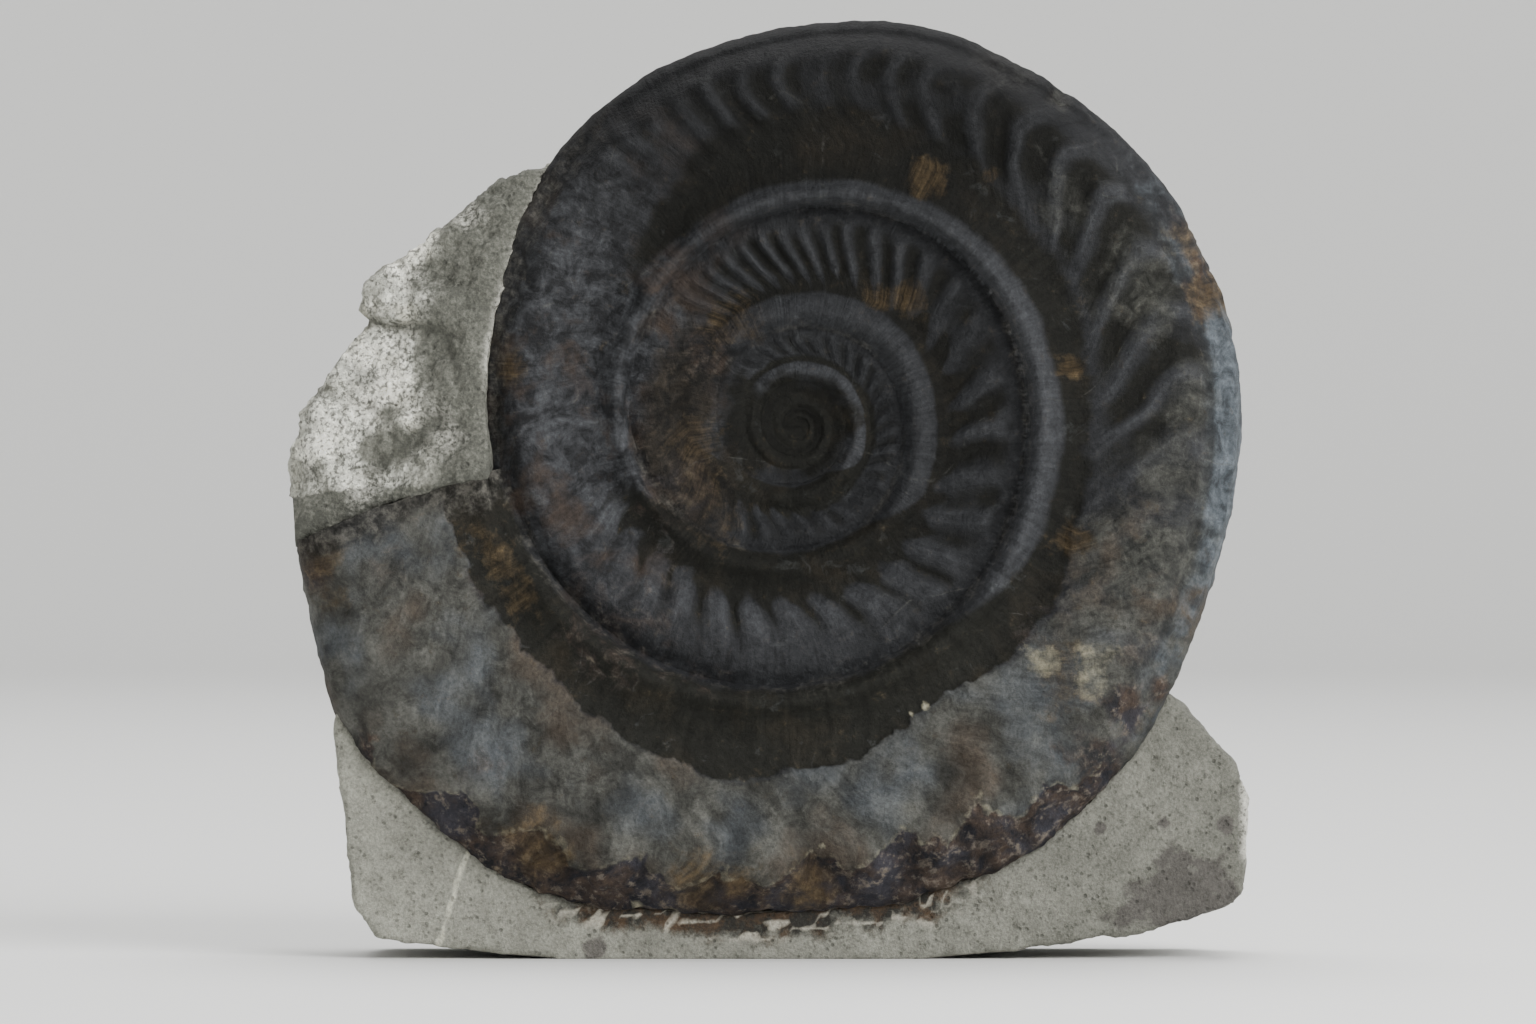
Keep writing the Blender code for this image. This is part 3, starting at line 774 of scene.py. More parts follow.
def shaded(colour, factor):
    """A linear colour made darker or lighter."""
    return (*(min(1.0, c * factor) for c in colour[:3]), 1.0)


def new_material(name):
    """A node material, its tree and its shader."""
    material = bpy.data.materials.new(name)
    material.use_nodes = True
    return material, material.node_tree, material.node_tree.nodes["Principled BSDF"]


def mixed_pigments(tree, rows):
    """Colours that go over into each other with a pattern. A row may name an earlier one."""
    made = {}
    for name, pattern, low, high, most, below, above in rows:
        share = add(tree, RANGE, {0: pattern, 1: low, 2: high, 4: most})
        ends = {6: made.get(below, below), 7: made.get(above, above)}
        made[name] = add(tree, MIX, {0: share, **ends}, 2, data_type="RGBA")
    return made


def painted(tree, base, rows):
    """Coats over the base colour where each mark says so, with edges frayed by a noise."""
    for mark, fray, amount, soft, most, coat in rows:
        share = add(tree, MARK, {}, "Fac", attribute_name=mark)
        share = add(tree, MATH, {0: fray, 1: amount, 2: share}, operation="MULTIPLY_ADD")
        middle = 0.5 + 0.5 * amount
        share = add(tree, RANGE, {0: share, 1: middle - soft, 2: middle + soft, 4: most})
        base = add(tree, MIX, {0: share, 6: base, 7: coat}, 2, data_type="RGBA")
    return base


def toned(tree, base, rows):
    """The base colour made lighter and darker by each pattern."""
    for pattern, low, high, dark, light in rows:
        factor = add(tree, RANGE, {0: pattern, 1: low, 2: high, 3: dark, 4: light})
        base = add(tree, VECTOR, {0: base, "Scale": factor}, operation="SCALE")
    return base


def summed(tree, base, rows):
    """The base value plus each pattern times its share."""
    for pattern, share in rows:
        base = add(tree, MATH, {0: pattern, 1: share, 2: base}, operation="MULTIPLY_ADD")
    return base


def finish(tree, shader, base, relief, gloss):
    """Gives the shader its colour, its relief and how much it reflects."""
    tree.links.new(base, shader.inputs["Base Color"])
    bump = add(tree, "ShaderNodeBump", {"Height": relief, **BUMP})
    tree.links.new(bump, shader.inputs["Normal"])
    shader.inputs["Specular IOR Level"].default_value = gloss


def shell_material(settings):
    """Aragonite shell turned to dark calcite and pyrite: a low, waxy gloss on rubbed ribs, whose
    crests and bands are painted lighter as polish and painted highlight, a painted highlight on the
    rim at the right, a dull olive crust in the furrows that also darkens the coil's middle as
    painted shade, painted shade in the shoulder groove, and a chalky grey where the outer layer has
    worn away."""
    material, tree, shader = new_material("mineralised_shell")
    place = add(tree, "ShaderNodeTexCoord", {}, "Object")
    # Noises: size of the lumps in millimetres, detail, roughness, distortion
    noises = []
    for size, detail, rough, lift in (
        (24.0, 3.0, 0.5, 0.0), (15.0, 5.0, 0.6, 0.3), (5.0, 6.0, 0.68, 0.6),
        (2.6, 5.0, 0.7, 0.0), (0.8, 4.0, 0.75, 0.0), (60.0, 1.0, 0.4, 0.0),
    ):
        sizes = {"Scale": 1 / (size * MM), "Detail": detail, "Roughness": rough}
        noises.append(add(tree, NOISE, {"Vector": place, "Distortion": lift, **sizes}))
    drift, cloudy, patchy, blotchy, fine, slow = noises

    marks = {
        name: add(tree, MARK, {}, "Fac", attribute_name=name)
        for name in ("rib_count", "knob", "shade", "crest", "crust", "worn", "dust")
    }

    # Growth lines: noise drawn out along the ribs, 8 to a rib
    count = add(tree, MATH, {0: marks["rib_count"], 1: 8.0}, operation="MULTIPLY")
    count = add(tree, "ShaderNodeCombineXYZ", {1: count})
    flat = add(tree, VECTOR, {0: place, 1: (70.0, 0.0, 70.0)}, operation="MULTIPLY")
    along = add(tree, VECTOR, {0: flat, 1: count}, operation="ADD")
    streaks = add(tree, NOISE, {"Vector": along, "Scale": 1.0, "Detail": 4.0, "Roughness": 0.6})

    rib, worn, umber = settings.rib_colour, settings.worn_colour, settings.umber_colour
    furrow, iron = settings.furrow_colour, settings.iron_colour
    pigment = mixed_pigments(tree, (
        ("rubbed", cloudy, 0.35, 0.65, 1.0, shaded(rib, 0.6), rib),
        ("blue", patchy, 0.42, 0.6, 1.0, shaded(rib, 0.5), shaded(rib, 2.0)),
        ("mottled", cloudy, 0.5, 0.62, 1.0, "blue", shaded(umber, 0.8)),
        ("chipped", blotchy, 0.42, 0.58, 1.0, linear("#2a2624"), shaded(worn, 1.4)),
        ("crust", cloudy, 0.5, 0.8, 1.0, furrow, linear("#27231c")),
        # The painted highlight on the rim at the right
        ("rim_highlight", patchy, 0.38, 0.62, 1.0, linear("#363b3f"), linear("#60676d")),
        ("haze", patchy, 0.38, 0.62, 1.0, linear("#2e2f2c"), linear("#50504b")),
        ("chalk", patchy, 0.4, 0.6, 1.0, shaded(worn, 0.5), shaded(worn, 1.15)),
        ("pale chalk", cloudy, 0.52, 0.66, 1.0, "chalk", shaded(worn, 1.5)),
        ("dark chalk", blotchy, 0.52, 0.68, 0.75, "pale chalk", shaded(worn, 0.38)),
        ("brown chalk", drift, 0.52, 0.62, 0.6, "dark chalk", linear("#463d34")),
        ("worn", drift, 0.48, 0.38, 0.5, "brown chalk", linear("#4a4f54")),
        ("bare", patchy, 0.4, 0.6, 1.0, linear("#222226"), umber),
        ("slaty", cloudy, 0.5, 0.6, 0.8, "bare", linear("#35353b")),
        ("umber", blotchy, 0.53, 0.66, 1.0, "slaty", linear("#5f5850")),
        ("tan", patchy, 0.4, 0.6, 1.0, linear("#171613"), linear("#2f2a23")),
        ("faded", blotchy, 0.5, 0.68, 0.7, "tan", linear("#37322c")),
        ("dust", blotchy, 0.42, 0.62, 1.0, linear("#262523"), linear("#4f4d48")),
        ("iron", streaks, 0.38, 0.62, 1.0, shaded(iron, 0.5), shaded(iron, 1.2)),
    ))
    base = painted(tree, pigment["rubbed"], (
        # Rib crests painted lighter: partly rubbed polish, partly a painted highlight
        ("crest", blotchy, 1.2, 0.45, 1.0, shaded(rib, 1.5)),
        # Bands painted lighter: partly rubbed polish, partly a painted highlight
        ("polish_and_highlight", patchy, 1.2, 0.45, 1.0, shaded(rib, 1.75)),
        ("furrow", blotchy, 1.0, 0.35, 1.0, furrow),
        ("mottled", blotchy, 0.4, 0.5, 0.85, pigment["mottled"]),
        ("chipped", blotchy, 0.3, 0.35, 0.8, pigment["chipped"]),
        ("crust", blotchy, 0.45, 0.22, 1.0, pigment["crust"]),
        # A painted highlight on the rim at the right
        ("rim_highlight", patchy, 0.9, 0.4, 0.85, pigment["rim_highlight"]),
        # Painted shade in the groove along the shoulder
        ("shoulder", blotchy, 0.4, 0.4, 0.6, linear("#1a1b1a")),
        ("hazed", patchy, 1.0, 0.4, 0.9, pigment["haze"]),
        ("worn", blotchy, 0.8, 0.25, 1.0, pigment["worn"]),
        ("faded", patchy, 0.9, 0.35, 0.95, pigment["faded"]),
        ("umber", patchy, 1.0, 0.25, 1.0, pigment["umber"]),
        ("iron", blotchy, 1.6, 0.35, 0.75, pigment["iron"]),
        ("calcite", blotchy, 1.1, 0.3, 0.8, linear("#85816f")),
        ("dust", blotchy, 0.9, 0.35, 0.85, pigment["dust"]),
    ))
    # Hairlines of calcite: where a slow noise crosses its middle
    crossing = add(tree, MATH, {0: slow, 1: 0.5}, operation="SUBTRACT")
    crossing = add(tree, MATH, {0: crossing}, operation="ABSOLUTE")
    line = add(tree, RANGE, {0: crossing, 1: 0.0005, 2: 0.002, 3: 0.35, 4: 0.0})
    gaps = add(tree, RANGE, {0: patchy, 1: 0.5, 2: 0.6})
    line = add(tree, MATH, {0: line, 1: gaps}, operation="MULTIPLY")
    base = add(tree, MIX, {0: line, 6: base, 7: shaded(worn, 1.4)}, 2, data_type="RGBA")
    base = toned(tree, base, (
        (streaks, 0.3, 0.7, 0.75, 1.25),
        (fine, 0.3, 0.7, 0.7, 1.33),
        (blotchy, 0.35, 0.65, 0.78, 1.22),
        (marks["knob"], -1.0, 1.0, 0.74, 1.32),
        (marks["shade"], 0.0, 2.0, 0.0, 2.0),
    ))
    rough = summed(tree, 0.5, (
        (fine, 0.25), (marks["crest"], -0.14), (marks["crust"], 0.14), (marks["worn"], 0.2),
        (marks["dust"], 0.2),
    ))
    tree.links.new(rough, shader.inputs["Roughness"])
    flakes = add(tree, MATH, {0: patchy, 1: marks["worn"]}, operation="MULTIPLY")
    relief = summed(tree, fine, ((streaks, 0.6), (blotchy, 1.4), (flakes, 2.0)))
    finish(tree, shader, base, relief, gloss=0.15)
    return material


def stone_material(settings):
    """Fine shelly limestone: broken faces are matt and grey-green with dark specks, and the
    old outer crust has weathered pale. The lump has painted shade along its furrows and painted
    highlights on its bulges."""
    material, tree, shader = new_material("shelly_limestone")
    place = add(tree, "ShaderNodeTexCoord", {}, "Object")
    # Noises: size of the lumps in millimetres, detail, roughness
    noises = []
    for size, detail, rough in (
        (18.0, 5.0, 0.6), (5.0, 6.0, 0.7), (1.9, 5.0, 0.75), (0.6, 3.0, 0.75), (0.9, 2.0, 0.65)
    ):
        sizes = {"Scale": 1 / (size * MM), "Detail": detail, "Roughness": rough}
        noises.append(add(tree, NOISE, {"Vector": place, **sizes}))
    cloudy, patchy, blotchy, fine, specks = noises
    # Pits of lost grains, 1.7 mm apart
    cells = add(
        tree, "ShaderNodeTexVoronoi", {"Vector": place, "Scale": 1 / (1.7 * MM)}, feature="F1"
    )
    pits = add(tree, RANGE, {0: cells, 1: 0.16, 2: 0.3, 3: 1.0, 4: 0.0})
    gaps = add(tree, RANGE, {0: patchy, 1: 0.42, 2: 0.6})
    pits = add(tree, MATH, {0: pits, 1: gaps}, operation="MULTIPLY")

    fresh, pale = settings.fresh_colour, settings.pale_colour
    sheet = add(tree, MARK, {}, "Fac", attribute_name="sheet")
    pigment = mixed_pigments(tree, (
        ("fresh", cloudy, 0.35, 0.65, 1.0, shaded(fresh, 0.72), fresh),
        ("block", patchy, 0.5, 0.72, 0.6, "fresh", shaded(fresh, 0.5)),
        ("crust", patchy, 0.36, 0.58, 1.0, shaded(pale, 0.42), pale),
        ("cream", cloudy, 0.52, 0.7, 1.0, "crust", linear("#dcd9c6")),
        ("blotched", blotchy, 0.54, 0.66, 0.6, "cream", linear("#565750")),
        ("pale", specks, 0.52, 0.58, 0.68, "blotched", linear("#3b3c36")),
        # Painted highlights: near white, with dark specks
        ("bright", specks, 0.54, 0.6, 0.7, linear("#fffdf0"), linear("#5c5d55")),
        ("rust", patchy, 0.45, 0.6, 1.0, linear("#262421"), linear("#4e3c2b")),
        ("sheets", sheet, 0.62, 0.95, 0.9, "rust", linear("#bcb7a8")),
    ))
    base = painted(tree, pigment["block"], (
        # Weathered pale crust, with painted highlights on the lump's bulges
        ("pale", patchy, 0.7, 0.2, 1.0, pigment["pale"]),
        # Painted highlights on the tops of the lump's bulges, with the pale lip and strip
        ("bright", patchy, 1.0, 0.4, 0.9, pigment["bright"]),
        ("stain", patchy, 0.9, 0.13, 1.0, settings.stain_colour),
        # Painted shade along the lump's furrows
        ("crease_shade", blotchy, 0.9, 0.45, 0.8, linear("#42423b")),
        ("fringe", blotchy, 1.4, 0.4, 0.95, pigment["sheets"]),
        ("shadowed", specks, 1.2, 0.45, 0.9, linear("#454640")),
        ("vein", blotchy, 0.8, 0.13, 1.0, linear("#b9b8a8")),
    ))
    share = add(tree, MATH, {0: pits, 1: 0.5}, operation="MULTIPLY")
    base = add(tree, MIX, {0: share, 6: base, 7: linear("#33342f")}, 2, data_type="RGBA")
    share = add(tree, RANGE, {0: blotchy, 1: 0.56, 2: 0.68, 4: 0.4})
    base = add(tree, MIX, {0: share, 6: base, 7: linear("#4c4d46")}, 2, data_type="RGBA")
    base = toned(tree, base, (
        (fine, 0.3, 0.7, 0.7, 1.28),
        (blotchy, 0.3, 0.7, 1.15, 0.85),
        (add(tree, "ShaderNodeSeparateXYZ", {0: place}), -0.04, 0.09, 1.17, 0.74),
    ))
    shader.inputs["Roughness"].default_value = 0.88
    relief = summed(tree, fine, ((blotchy, 1.6), (pits, -1.2)))
    finish(tree, shader, base, relief, gloss=0.3)
    return material


class FOSSIL_OT_shell(bpy.types.Operator):
    """Winds a grid into the coiled shell, closes it behind and gives it its finish"""

    bl_idname = "fossil.shell"
    bl_label = "Shell"

    def execute(self, context):
        settings = context.scene.fossil_shell
        flank = wound_grid(
            "shell", START_ANGLE, END_ANGLE, settings.row_step, settings.columns,
            flank_points, False,
        )
        rim = wound_grid(
            "rim", END_ANGLE - TURN, END_ANGLE, settings.row_step, settings.rim_columns,
            rim_points, True,
        )
        select_only(flank)
        rim.select_set(True)
        bpy.ops.object.join()
        weld(0.004 * MM)
        mesh = flank.data
        self.close(mesh)
        self.wear(mesh, settings)
        points = read(mesh.vertices, "co")
        wobble = grain(points, 6.0, 4, 7)
        umber = spotted(points, UMBER_SPOTS, wobble)
        store(mesh, {
            "umber": np.maximum(umber, read_mark(mesh, "bared")),
            "iron": spotted(points, IRON_SPOTS, wobble),
            "calcite": np.maximum(
                spotted(points, CALCITE_SPOTS, wobble), 0.42 * read_mark(mesh, "flaked")
            ),
        })
        triangles = sum(len(p.vertices) - 2 for p in mesh.polygons)
        fewer = flank.modifiers.new("Fewer faces", "DECIMATE")
        fewer.ratio = min(1.0, settings.faces / triangles)
        select_only(flank)
        bpy.ops.object.modifier_apply(modifier=fewer.name)
        bpy.ops.object.shade_smooth_by_angle(angle=math.radians(SMOOTH_UP_TO))
        flank.data.materials.append(shell_material(settings))
        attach(flank, "root")
        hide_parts("ammonite")
        return {"FINISHED"}

    def wear(self, mesh, settings):
        """Dents the shell, steps it where a layer ends, and flattens the worn inner whorls."""
        points, normals = read(mesh.vertices, "co"), read(mesh.vertex_normals, "vector")
        radius, turned = about_axis(points)
        coarse, fine = grain(points, 9.0, 3, 1), grain(points, 3.0, 3, 2)
        worn, bared = read_mark(mesh, "worn"), read_mark(mesh, "bared")
        rough = settings.dents * (coarse + 0.5 * fine) * (1 + 0.8 * worn + 1.2 * bared)
        rough += settings.layer * (worn - 1.2 * bared + 0.5 * read_mark(mesh, "flaked"))
        chipped = spotted(points, CHIPS, coarse)
        rough -= MM * chipped * (1 + 0.9 * fine)
        front = ease(-REAR_DEPTH + 1.0, -REAR_DEPTH + 4.0, MID_Y - points[:, 1] / MM)
        points += normals * (rough * front)[:, None]
        store(mesh, {"chipped": chipped})
        flat = 0.93 * span(turned + 9 * coarse, -75, -48, 38, 62) * span(radius, 9, 13, 29, 36)
        flat = np.maximum(flat, 0.55 * (1 - ease(6.0, 12.0, radius)))
        level = (MID_Y - DISH_SLOPE * radius) * MM - 0.5 * settings.dents * (coarse + fine)
        points[:, 1] += flat * (level - points[:, 1])
        mesh.vertices.foreach_set("co", points.ravel())

    def close(self, mesh):
        """Fills the heart, the mouth and the flat rear."""
        points = read(mesh.vertices, "co")
        radius, _ = about_axis(points)
        at_rear = np.abs(points[:, 1] - (MID_Y + REAR_DEPTH) * MM) < 0.01 * MM
        loose = self.open_edges(mesh)
        round_heart = loose & self.inside(mesh, radius < HEART_RADIUS)
        round_rear = loose & self.inside(mesh, at_rear)
        round_mouth = loose & ~round_rear & ~round_heart
        self.fill(mesh, "edges", "EDGE", round_heart)
        corners = self.ends_of(mesh, round_rear) & self.ends_of(mesh, round_mouth)
        if corners.sum() != 2:
            raise RuntimeError(f"the mouth meets the rear at {corners.sum()} points, not 2")
        self.fill(mesh, "vertices", "VERT", corners)
        for ring in (round_rear, round_mouth):
            self.fill(mesh, "edges", "EDGE", np.append(ring, True))
        with editing():
            bpy.ops.mesh.select_all(action="SELECT")
            bpy.ops.mesh.normals_make_consistent(inside=False)

    def open_edges(self, mesh):
        """The edges with one face."""
        edge_of_corner = read(mesh.loops, "edge_index", 1, int)[:, 0]
        return np.bincount(edge_of_corner, minlength=len(mesh.edges)) == 1

    def inside(self, mesh, wanted):
        """The edges with both ends among the wanted points."""
        return wanted[read(mesh.edges, "vertices", 2, int)].all(axis=1)

    def ends_of(self, mesh, edges):
        """The points at the ends of these edges."""
        found = np.zeros(len(mesh.vertices), bool)
        found[read(mesh.edges, "vertices", 2, int)[edges].ravel()] = True
        return found

    def fill(self, mesh, kind, mode, wanted):
        """Makes one face in a closed ring of edges, or one edge between two points."""
        choose(mesh, kind, wanted)
        with editing():
            bpy.ops.mesh.select_mode(type=mode)
            bpy.ops.mesh.edge_face_add()


class FOSSIL_OT_stone(bpy.types.Operator):
    """Breaks up the surface of the stone's plain solid and gives it its finish"""

    bl_idname = "fossil.stone"
    bl_label = "Stone"

    def execute(self, context):
        settings = context.scene.fossil_stone
        bpy.ops.object.select_all(action="DESELECT")
        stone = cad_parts["matrix"].copy()
        stone.data = stone.data.copy()
        for key in list(stone.keys()):
            del stone[key]
        stone.name = "stone"
        stone.parent = None
        context.collection.objects.link(stone)
        select_only(stone)
        weld(0.01 * MM)
        voxels = stone.modifiers.new("Even faces", "REMESH")
        voxels.mode = "VOXEL"
        voxels.voxel_size = settings.grain_size
        bpy.ops.object.modifier_apply(modifier=voxels.name)
        self.refine(stone.data)
        self.roughen(stone.data, settings)
        bpy.ops.object.shade_smooth()
        stone.data.materials.clear()
        stone.data.materials.append(stone_material(settings))
        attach(stone, "root")
        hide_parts("matrix")
        return {"FINISHED"}

    def refine(self, mesh):
        """Cuts the faces of the lump's front in four."""
        x, y, z = (read(mesh.polygons, "center") / MM).T
        choose(mesh, "polygons", (x < LUMP_RIGHT) & (z > LUMP_LOW) & (y < LUMP_BACK))
        with editing():
            bpy.ops.mesh.select_mode(type="FACE")
            bpy.ops.mesh.subdivide(number_cuts=1)

    def survey(self, mesh):
        """Where each point lies, in millimetres, and the noises that the surface is made with."""
        points = read(mesh.vertices, "co")
        away, angle = about_axis(points)
        at = SimpleNamespace(points=points, away=away, angle=angle % TURN)
        at.x, at.depth, at.z = points[:, 0] / MM, points[:, 1] / MM - MID_Y, points[:, 2] / MM
        at.on_last = np.where(at.angle > END_ANGLE, at.angle - TURN, at.angle)
        at.beside = away - keel(at.on_last)
        at.coarse, at.medium = grain(points, 13.0, 4, 3), grain(points, 5.0, 4, 4)
        at.small = grain(points, 2.6, 2, 13)
        at.lump = ease(72.0, 80.0, at.z + 3 * at.coarse) * ease(-20.0, -40.0, at.x)
        at.front = ease(16.0, 8.0, at.depth)
        return at

    def roughen(self, mesh, settings):
        """Breaks the surface up, closes the gap round the shell and marks the stains, the painted
        shade in the furrows and the painted highlights.
        """
        at = self.survey(mesh)
        normals = read(mesh.vertex_normals, "vector")
        height = self.broken(at, settings.roughness)
        fringe, sheet = self.flakes(at)
        height += 0.7 * MM * fringe * (sheet - 0.7 + 0.5 * at.small)
        height, crease_shade = self.furrowed(at, height)
        on_foot = ease(0.3, 3.0, at.z + 2.5 * (normals[:, 2] + 1))
        behind_shell = ease(REAR_DEPTH + 1.0, REAR_DEPTH + 4.0, at.depth)
        off_shell = np.maximum(ease(0.8, 4.0, at.beside), behind_shell)
        moved = normals * (height * on_foot * off_shell)[:, None]
        over_mouth = self.lap(at, moved)
        moved[:, 1] = np.clip(moved[:, 1], -MOST_DEPTH * MM, MOST_DEPTH * MM)
        at.points += moved
        mesh.vertices.foreach_set("co", at.points.ravel())
        store(mesh, {"fringe": fringe, "sheet": sheet, "crease_shade": crease_shade})
        store(mesh, self.stains(at, over_mouth))

    def broken(self, at, roughness):
        """Height of the broken surface, with ledges on the back."""
        broad = 3 * grain(at.points, 34.0, 3, 12)
        ledges = (np.floor(broad) + ease(0.75, 1.0, broad % 1.0)) * ease(20.0, 29.0, at.depth)
        height = roughness * (at.medium + (1.0 + 0.8 * at.lump) * at.coarse + 0.9 * ledges)
        height += roughness * (0.3 + 0.6 * at.lump) * at.small
        height += roughness * 0.45 * at.lump * grain(at.points, 1.3, 2, 14)
        return height

    def flakes(self, at):
        """Thin flakes along the joint under the shell: where they are, and each one's edge."""
        fringe = span(at.angle + 4 * at.coarse, *FRINGE_ANGLES)
        fringe *= (1 - ease(2.0, 7.0, at.beside + 2.5 * at.medium)) * ease(0.0, -4.0, at.depth)
        layers = 2 * math.pi * (at.beside + 0.9 * at.medium + 0.3 * at.small) / FLAKE_STEP
        return fringe, 0.5 + 0.5 * np.sin(layers)

    def furrowed(self, at, height):
        """The height with the lump's furrows and ledges, and the painted shade along them."""
        crease_shade = 0 * at.x
        for x0, z0, x1, z1, width, deep, step in CREASES:
            gap, side = off_line(at.x, at.z, x0, z0, x1, z1)
            gap = gap + 0.8 * at.medium
            height -= deep * MM * (fading(gap, width) * at.front)
            height += step * MM * (fading(gap, 9.0) * at.front) * np.clip(side / 1.5, -1, 1)
            # Painted shade along the furrow, darker for a deeper one
            edge = fading(gap, 0.8 * width) * at.front * min(1.0, deep)
            crease_shade = np.maximum(crease_shade, edge)
        return height, crease_shade

    def lap(self, at, moved):
        """Moves the bed's edge over the gap round the shell and over its broken mouth. Gives back
        how far over the mouth each point lies, in millimetres."""
        in_bed = ease(REAR_DEPTH, REAR_DEPTH - 3.0, at.depth)
        over = np.maximum(-at.depth, 0.0)
        _, top = cover(at.on_last)
        falls = 4.0 * (1 - np.sqrt(np.clip(1 - (over / np.maximum(top, 1.0)) ** 2, 0.0, 1.0)))
        falls = np.minimum(falls, 2.0)
        lapping = falls * span(at.angle, *LAP_ANGLES)
        lapping += falls * ease(*MOUTH_LAP, at.angle)
        reach = 1.0 + 0.4 * at.medium + lapping
        closing = span(at.beside, -0.6, 0.2, 0.8, 2.6) * in_bed * reach * MM
        moved[:, 0] -= closing * (at.x - AXIS_X) / at.away
        moved[:, 2] -= closing * (at.z - AXIS_Z) / at.away
        start, end = seam(END_ANGLE), keel(END_ANGLE)
        across = np.clip((at.away - start) / (end - start), 0, 1)
        mouth = mouth_angle(END_ANGLE + 0 * at.angle, across)
        over_mouth = np.radians(at.angle - mouth) * at.away
        dropping = span(over_mouth, -0.5, 0.3, 1.6, 6.0) * (at.away < end + 0.5) * in_bed
        moved[:, 2] -= dropping * (1.7 + 0.9 * at.coarse) * MM
        return over_mouth

    def stains(self, at, over_mouth):
        """Pale crust with painted highlights on the lump's bulges, brighter painted highlights, the
        pale lip and strip, stains, veins and the shadow beside the shell.
        """
        grey_by_shell = 1 - ease(9.0, 22.0, at.beside + 9 * at.coarse)
        vein = np.zeros(len(at.x))
        for line in VEINS:
            gap, _ = off_line(at.x, at.z, *line)
            vein = np.maximum(vein, 0.8 * fading(gap + 0.5 * at.medium, 0.8) * at.front)
        by_mouth = ease(8.0, 1.0, over_mouth + 4 * at.medium) * (over_mouth > -1) * at.front
        by_mouth = by_mouth * ease(0, 4, keel(END_ANGLE) + 3 - at.away)
        by_shell = 0.75 * grey_by_shell * at.lump * at.front
        # Pale crust with painted highlights on the bulges, and brighter painted highlights on their
        # tops
        pale = 0.45 * at.lump * at.front + spotted(at.points, PALE_SPOTS, at.medium)
        bright = spotted(at.points, HIGHLIGHT_SPOTS, at.medium)
        lip = 0.45 * span(at.beside, -2.0, -1.0, 0.6, 1.7) * span(at.angle, *LIP_ANGLES) * at.front
        strip = 0.8 * ease(*STRIP_X, at.x) * span(at.z, *STRIP_HEIGHTS)
        return {
            "pale": np.clip(pale * (1 - 0.7 * grey_by_shell), 0, 1),
            "bright": np.maximum(bright, np.maximum(lip, strip)),
            "stain": spotted(at.points, STONE_STAINS, at.medium),
            "vein": vein,
            "shadowed": np.maximum(by_mouth, by_shell) * (1 - lip),
        }


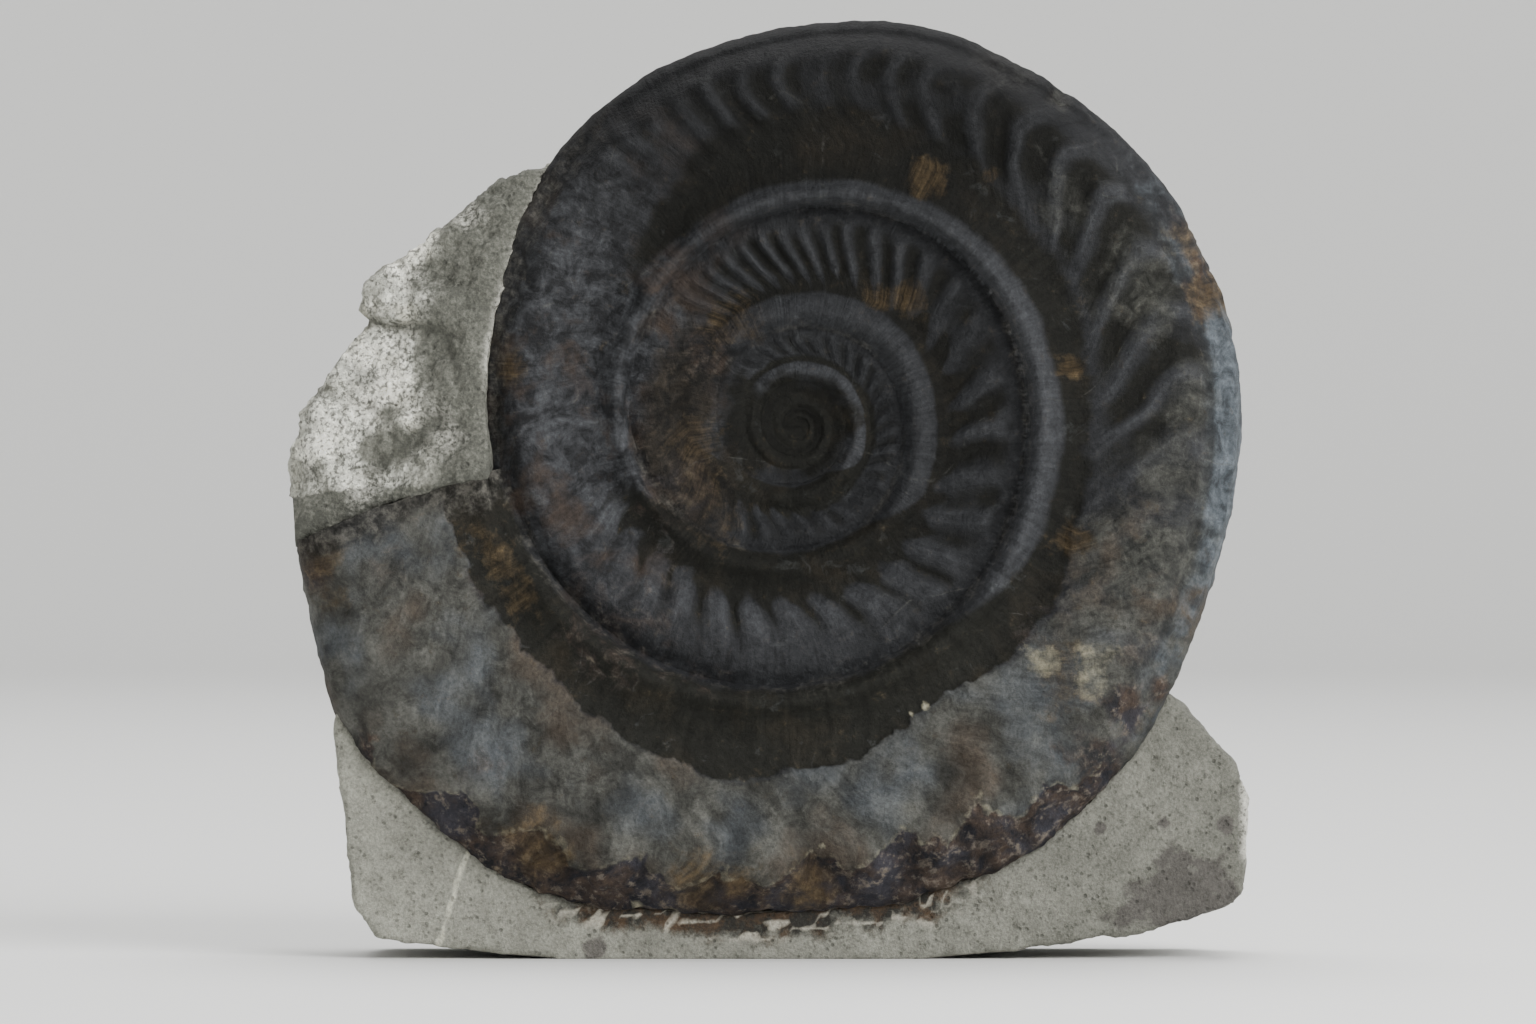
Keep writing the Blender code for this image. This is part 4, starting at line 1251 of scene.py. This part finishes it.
class FOSSIL_OT_stage(bpy.types.Operator):
    """Sets a pale sweep, soft lamps and the camera"""

    bl_idname = "fossil.stage"
    bl_label = "Stage"

    def execute(self, context):
        settings = context.scene.fossil_stage
        self.sweep(settings)
        self.lamp("key", (0.75, -0.8, 0.75), 0.9, settings.key_power, (0, 0, 0.1))
        self.lamp("sky", (0.0, 0.8, 2.6), 2.4, 4 * settings.key_power, (0, 0.8, 0))
        world = bpy.data.worlds.new("studio")
        context.scene.world = world
        world.use_nodes = True
        sky = world.node_tree.nodes["Background"]
        sky.inputs["Color"].default_value = (1.0, 1.0, 1.0, 1.0)
        sky.inputs["Strength"].default_value = 0.4
        self.camera(context, settings)
        return {"FINISHED"}

    def sweep(self, settings):
        """A round floor that curves up all round, far enough off to be seen from every side."""
        bpy.ops.object.select_all(action="DESELECT")
        bpy.ops.mesh.primitive_circle_add(vertices=96, radius=FLOOR_RADIUS, fill_type="NGON")
        floor = bpy.context.object
        floor.name = "floor"
        radius, height = FLOOR_RADIUS, 0.0
        turns = [math.radians(7.5 * step) for step in range(1, 13)]
        rings = [
            (FLOOR_RADIUS + RISE_RADIUS * math.sin(t), RISE_RADIUS - RISE_RADIUS * math.cos(t))
            for t in turns
        ]
        rings.append((FLOOR_RADIUS + RISE_RADIUS, EDGE_HEIGHT))
        with editing():
            bpy.ops.mesh.select_all(action="SELECT")
            bpy.ops.mesh.select_mode(type="EDGE")
            bpy.ops.mesh.region_to_loop()
            for next_radius, next_height in rings:
                bpy.ops.mesh.extrude_edges_move(
                    TRANSFORM_OT_translate={"value": (0, 0, next_height - height)}
                )
                share = next_radius / radius
                middle = (0, 0, next_height)
                bpy.ops.transform.resize(value=(share, share, 1), center_override=middle)
                radius, height = next_radius, next_height
        bpy.ops.object.shade_smooth_by_angle(angle=math.radians(40))
        material, _, shader = new_material("pale_paper")
        shader.inputs["Base Color"].default_value = settings.floor_colour
        shader.inputs["Roughness"].default_value = 0.9
        floor.data.materials.append(material)

    def lamp(self, name, place, size, power, target):
        """A round lamp, turned to its target."""
        data = bpy.data.lights.new(name, "AREA")
        data.shape = "DISK"
        data.size = size
        data.energy = power
        lamp = bpy.data.objects.new(name, data)
        bpy.context.collection.objects.link(lamp)
        lamp.location = place
        aim = Vector(target) - Vector(place)
        lamp.rotation_euler = aim.to_track_quat("-Z", "Y").to_euler()

    def camera(self, context, settings):
        """Level, square to the coil, as far off as makes the stone fill the same share of height."""
        data = bpy.data.cameras.new("camera")
        camera = bpy.data.objects.new("camera", data)
        context.collection.objects.link(camera)
        data.lens = settings.lens
        low, high = CAD_BOX
        share_of_height = OBJECT_PIXELS / PHOTO_HEIGHT
        across = (high.z - low.z) / share_of_height * PHOTO_WIDTH / PHOTO_HEIGHT
        distance = settings.lens / data.sensor_width * across
        camera.location = (0.0, MID_Y * MM - distance, CAMERA_HEIGHT)
        camera.rotation_euler = (math.pi / 2, 0, 0)
        context.scene.camera = camera


class FOSSIL_PT_panel(bpy.types.Panel):
    """Lists the pieces of the fossil and what can be changed on them"""

    bl_label = "Fossil"
    bl_idname = "FOSSIL_PT_panel"
    bl_space_type = "VIEW_3D"
    bl_region_type = "UI"
    bl_category = "Fossil"

    def draw(self, context):
        for operator, group in (
            ("fossil.shell", "fossil_shell"),
            ("fossil.stone", "fossil_stone"),
            ("fossil.stage", "fossil_stage"),
        ):
            box = self.layout.box()
            box.operator(operator)
            settings = getattr(context.scene, group)
            for name in settings.__annotations__:
                box.prop(settings, name)


CLASSES = (
    ShellSettings, StoneSettings, StageSettings, FOSSIL_OT_shell, FOSSIL_OT_stone,
    FOSSIL_OT_stage, FOSSIL_PT_panel,
)


def register():
    for kind in CLASSES:
        bpy.utils.register_class(kind)
    bpy.types.Scene.fossil_shell = PointerProperty(type=ShellSettings)
    bpy.types.Scene.fossil_stone = PointerProperty(type=StoneSettings)
    bpy.types.Scene.fossil_stage = PointerProperty(type=StageSettings)


def unregister():
    for name in ("fossil_shell", "fossil_stone", "fossil_stage"):
        delattr(bpy.types.Scene, name)
    for kind in reversed(CLASSES):
        bpy.utils.unregister_class(kind)


def main():
    register()
    bpy.ops.fossil.stage()
    bpy.ops.fossil.shell()
    bpy.ops.fossil.stone()


if __name__ == "__main__":
    main()
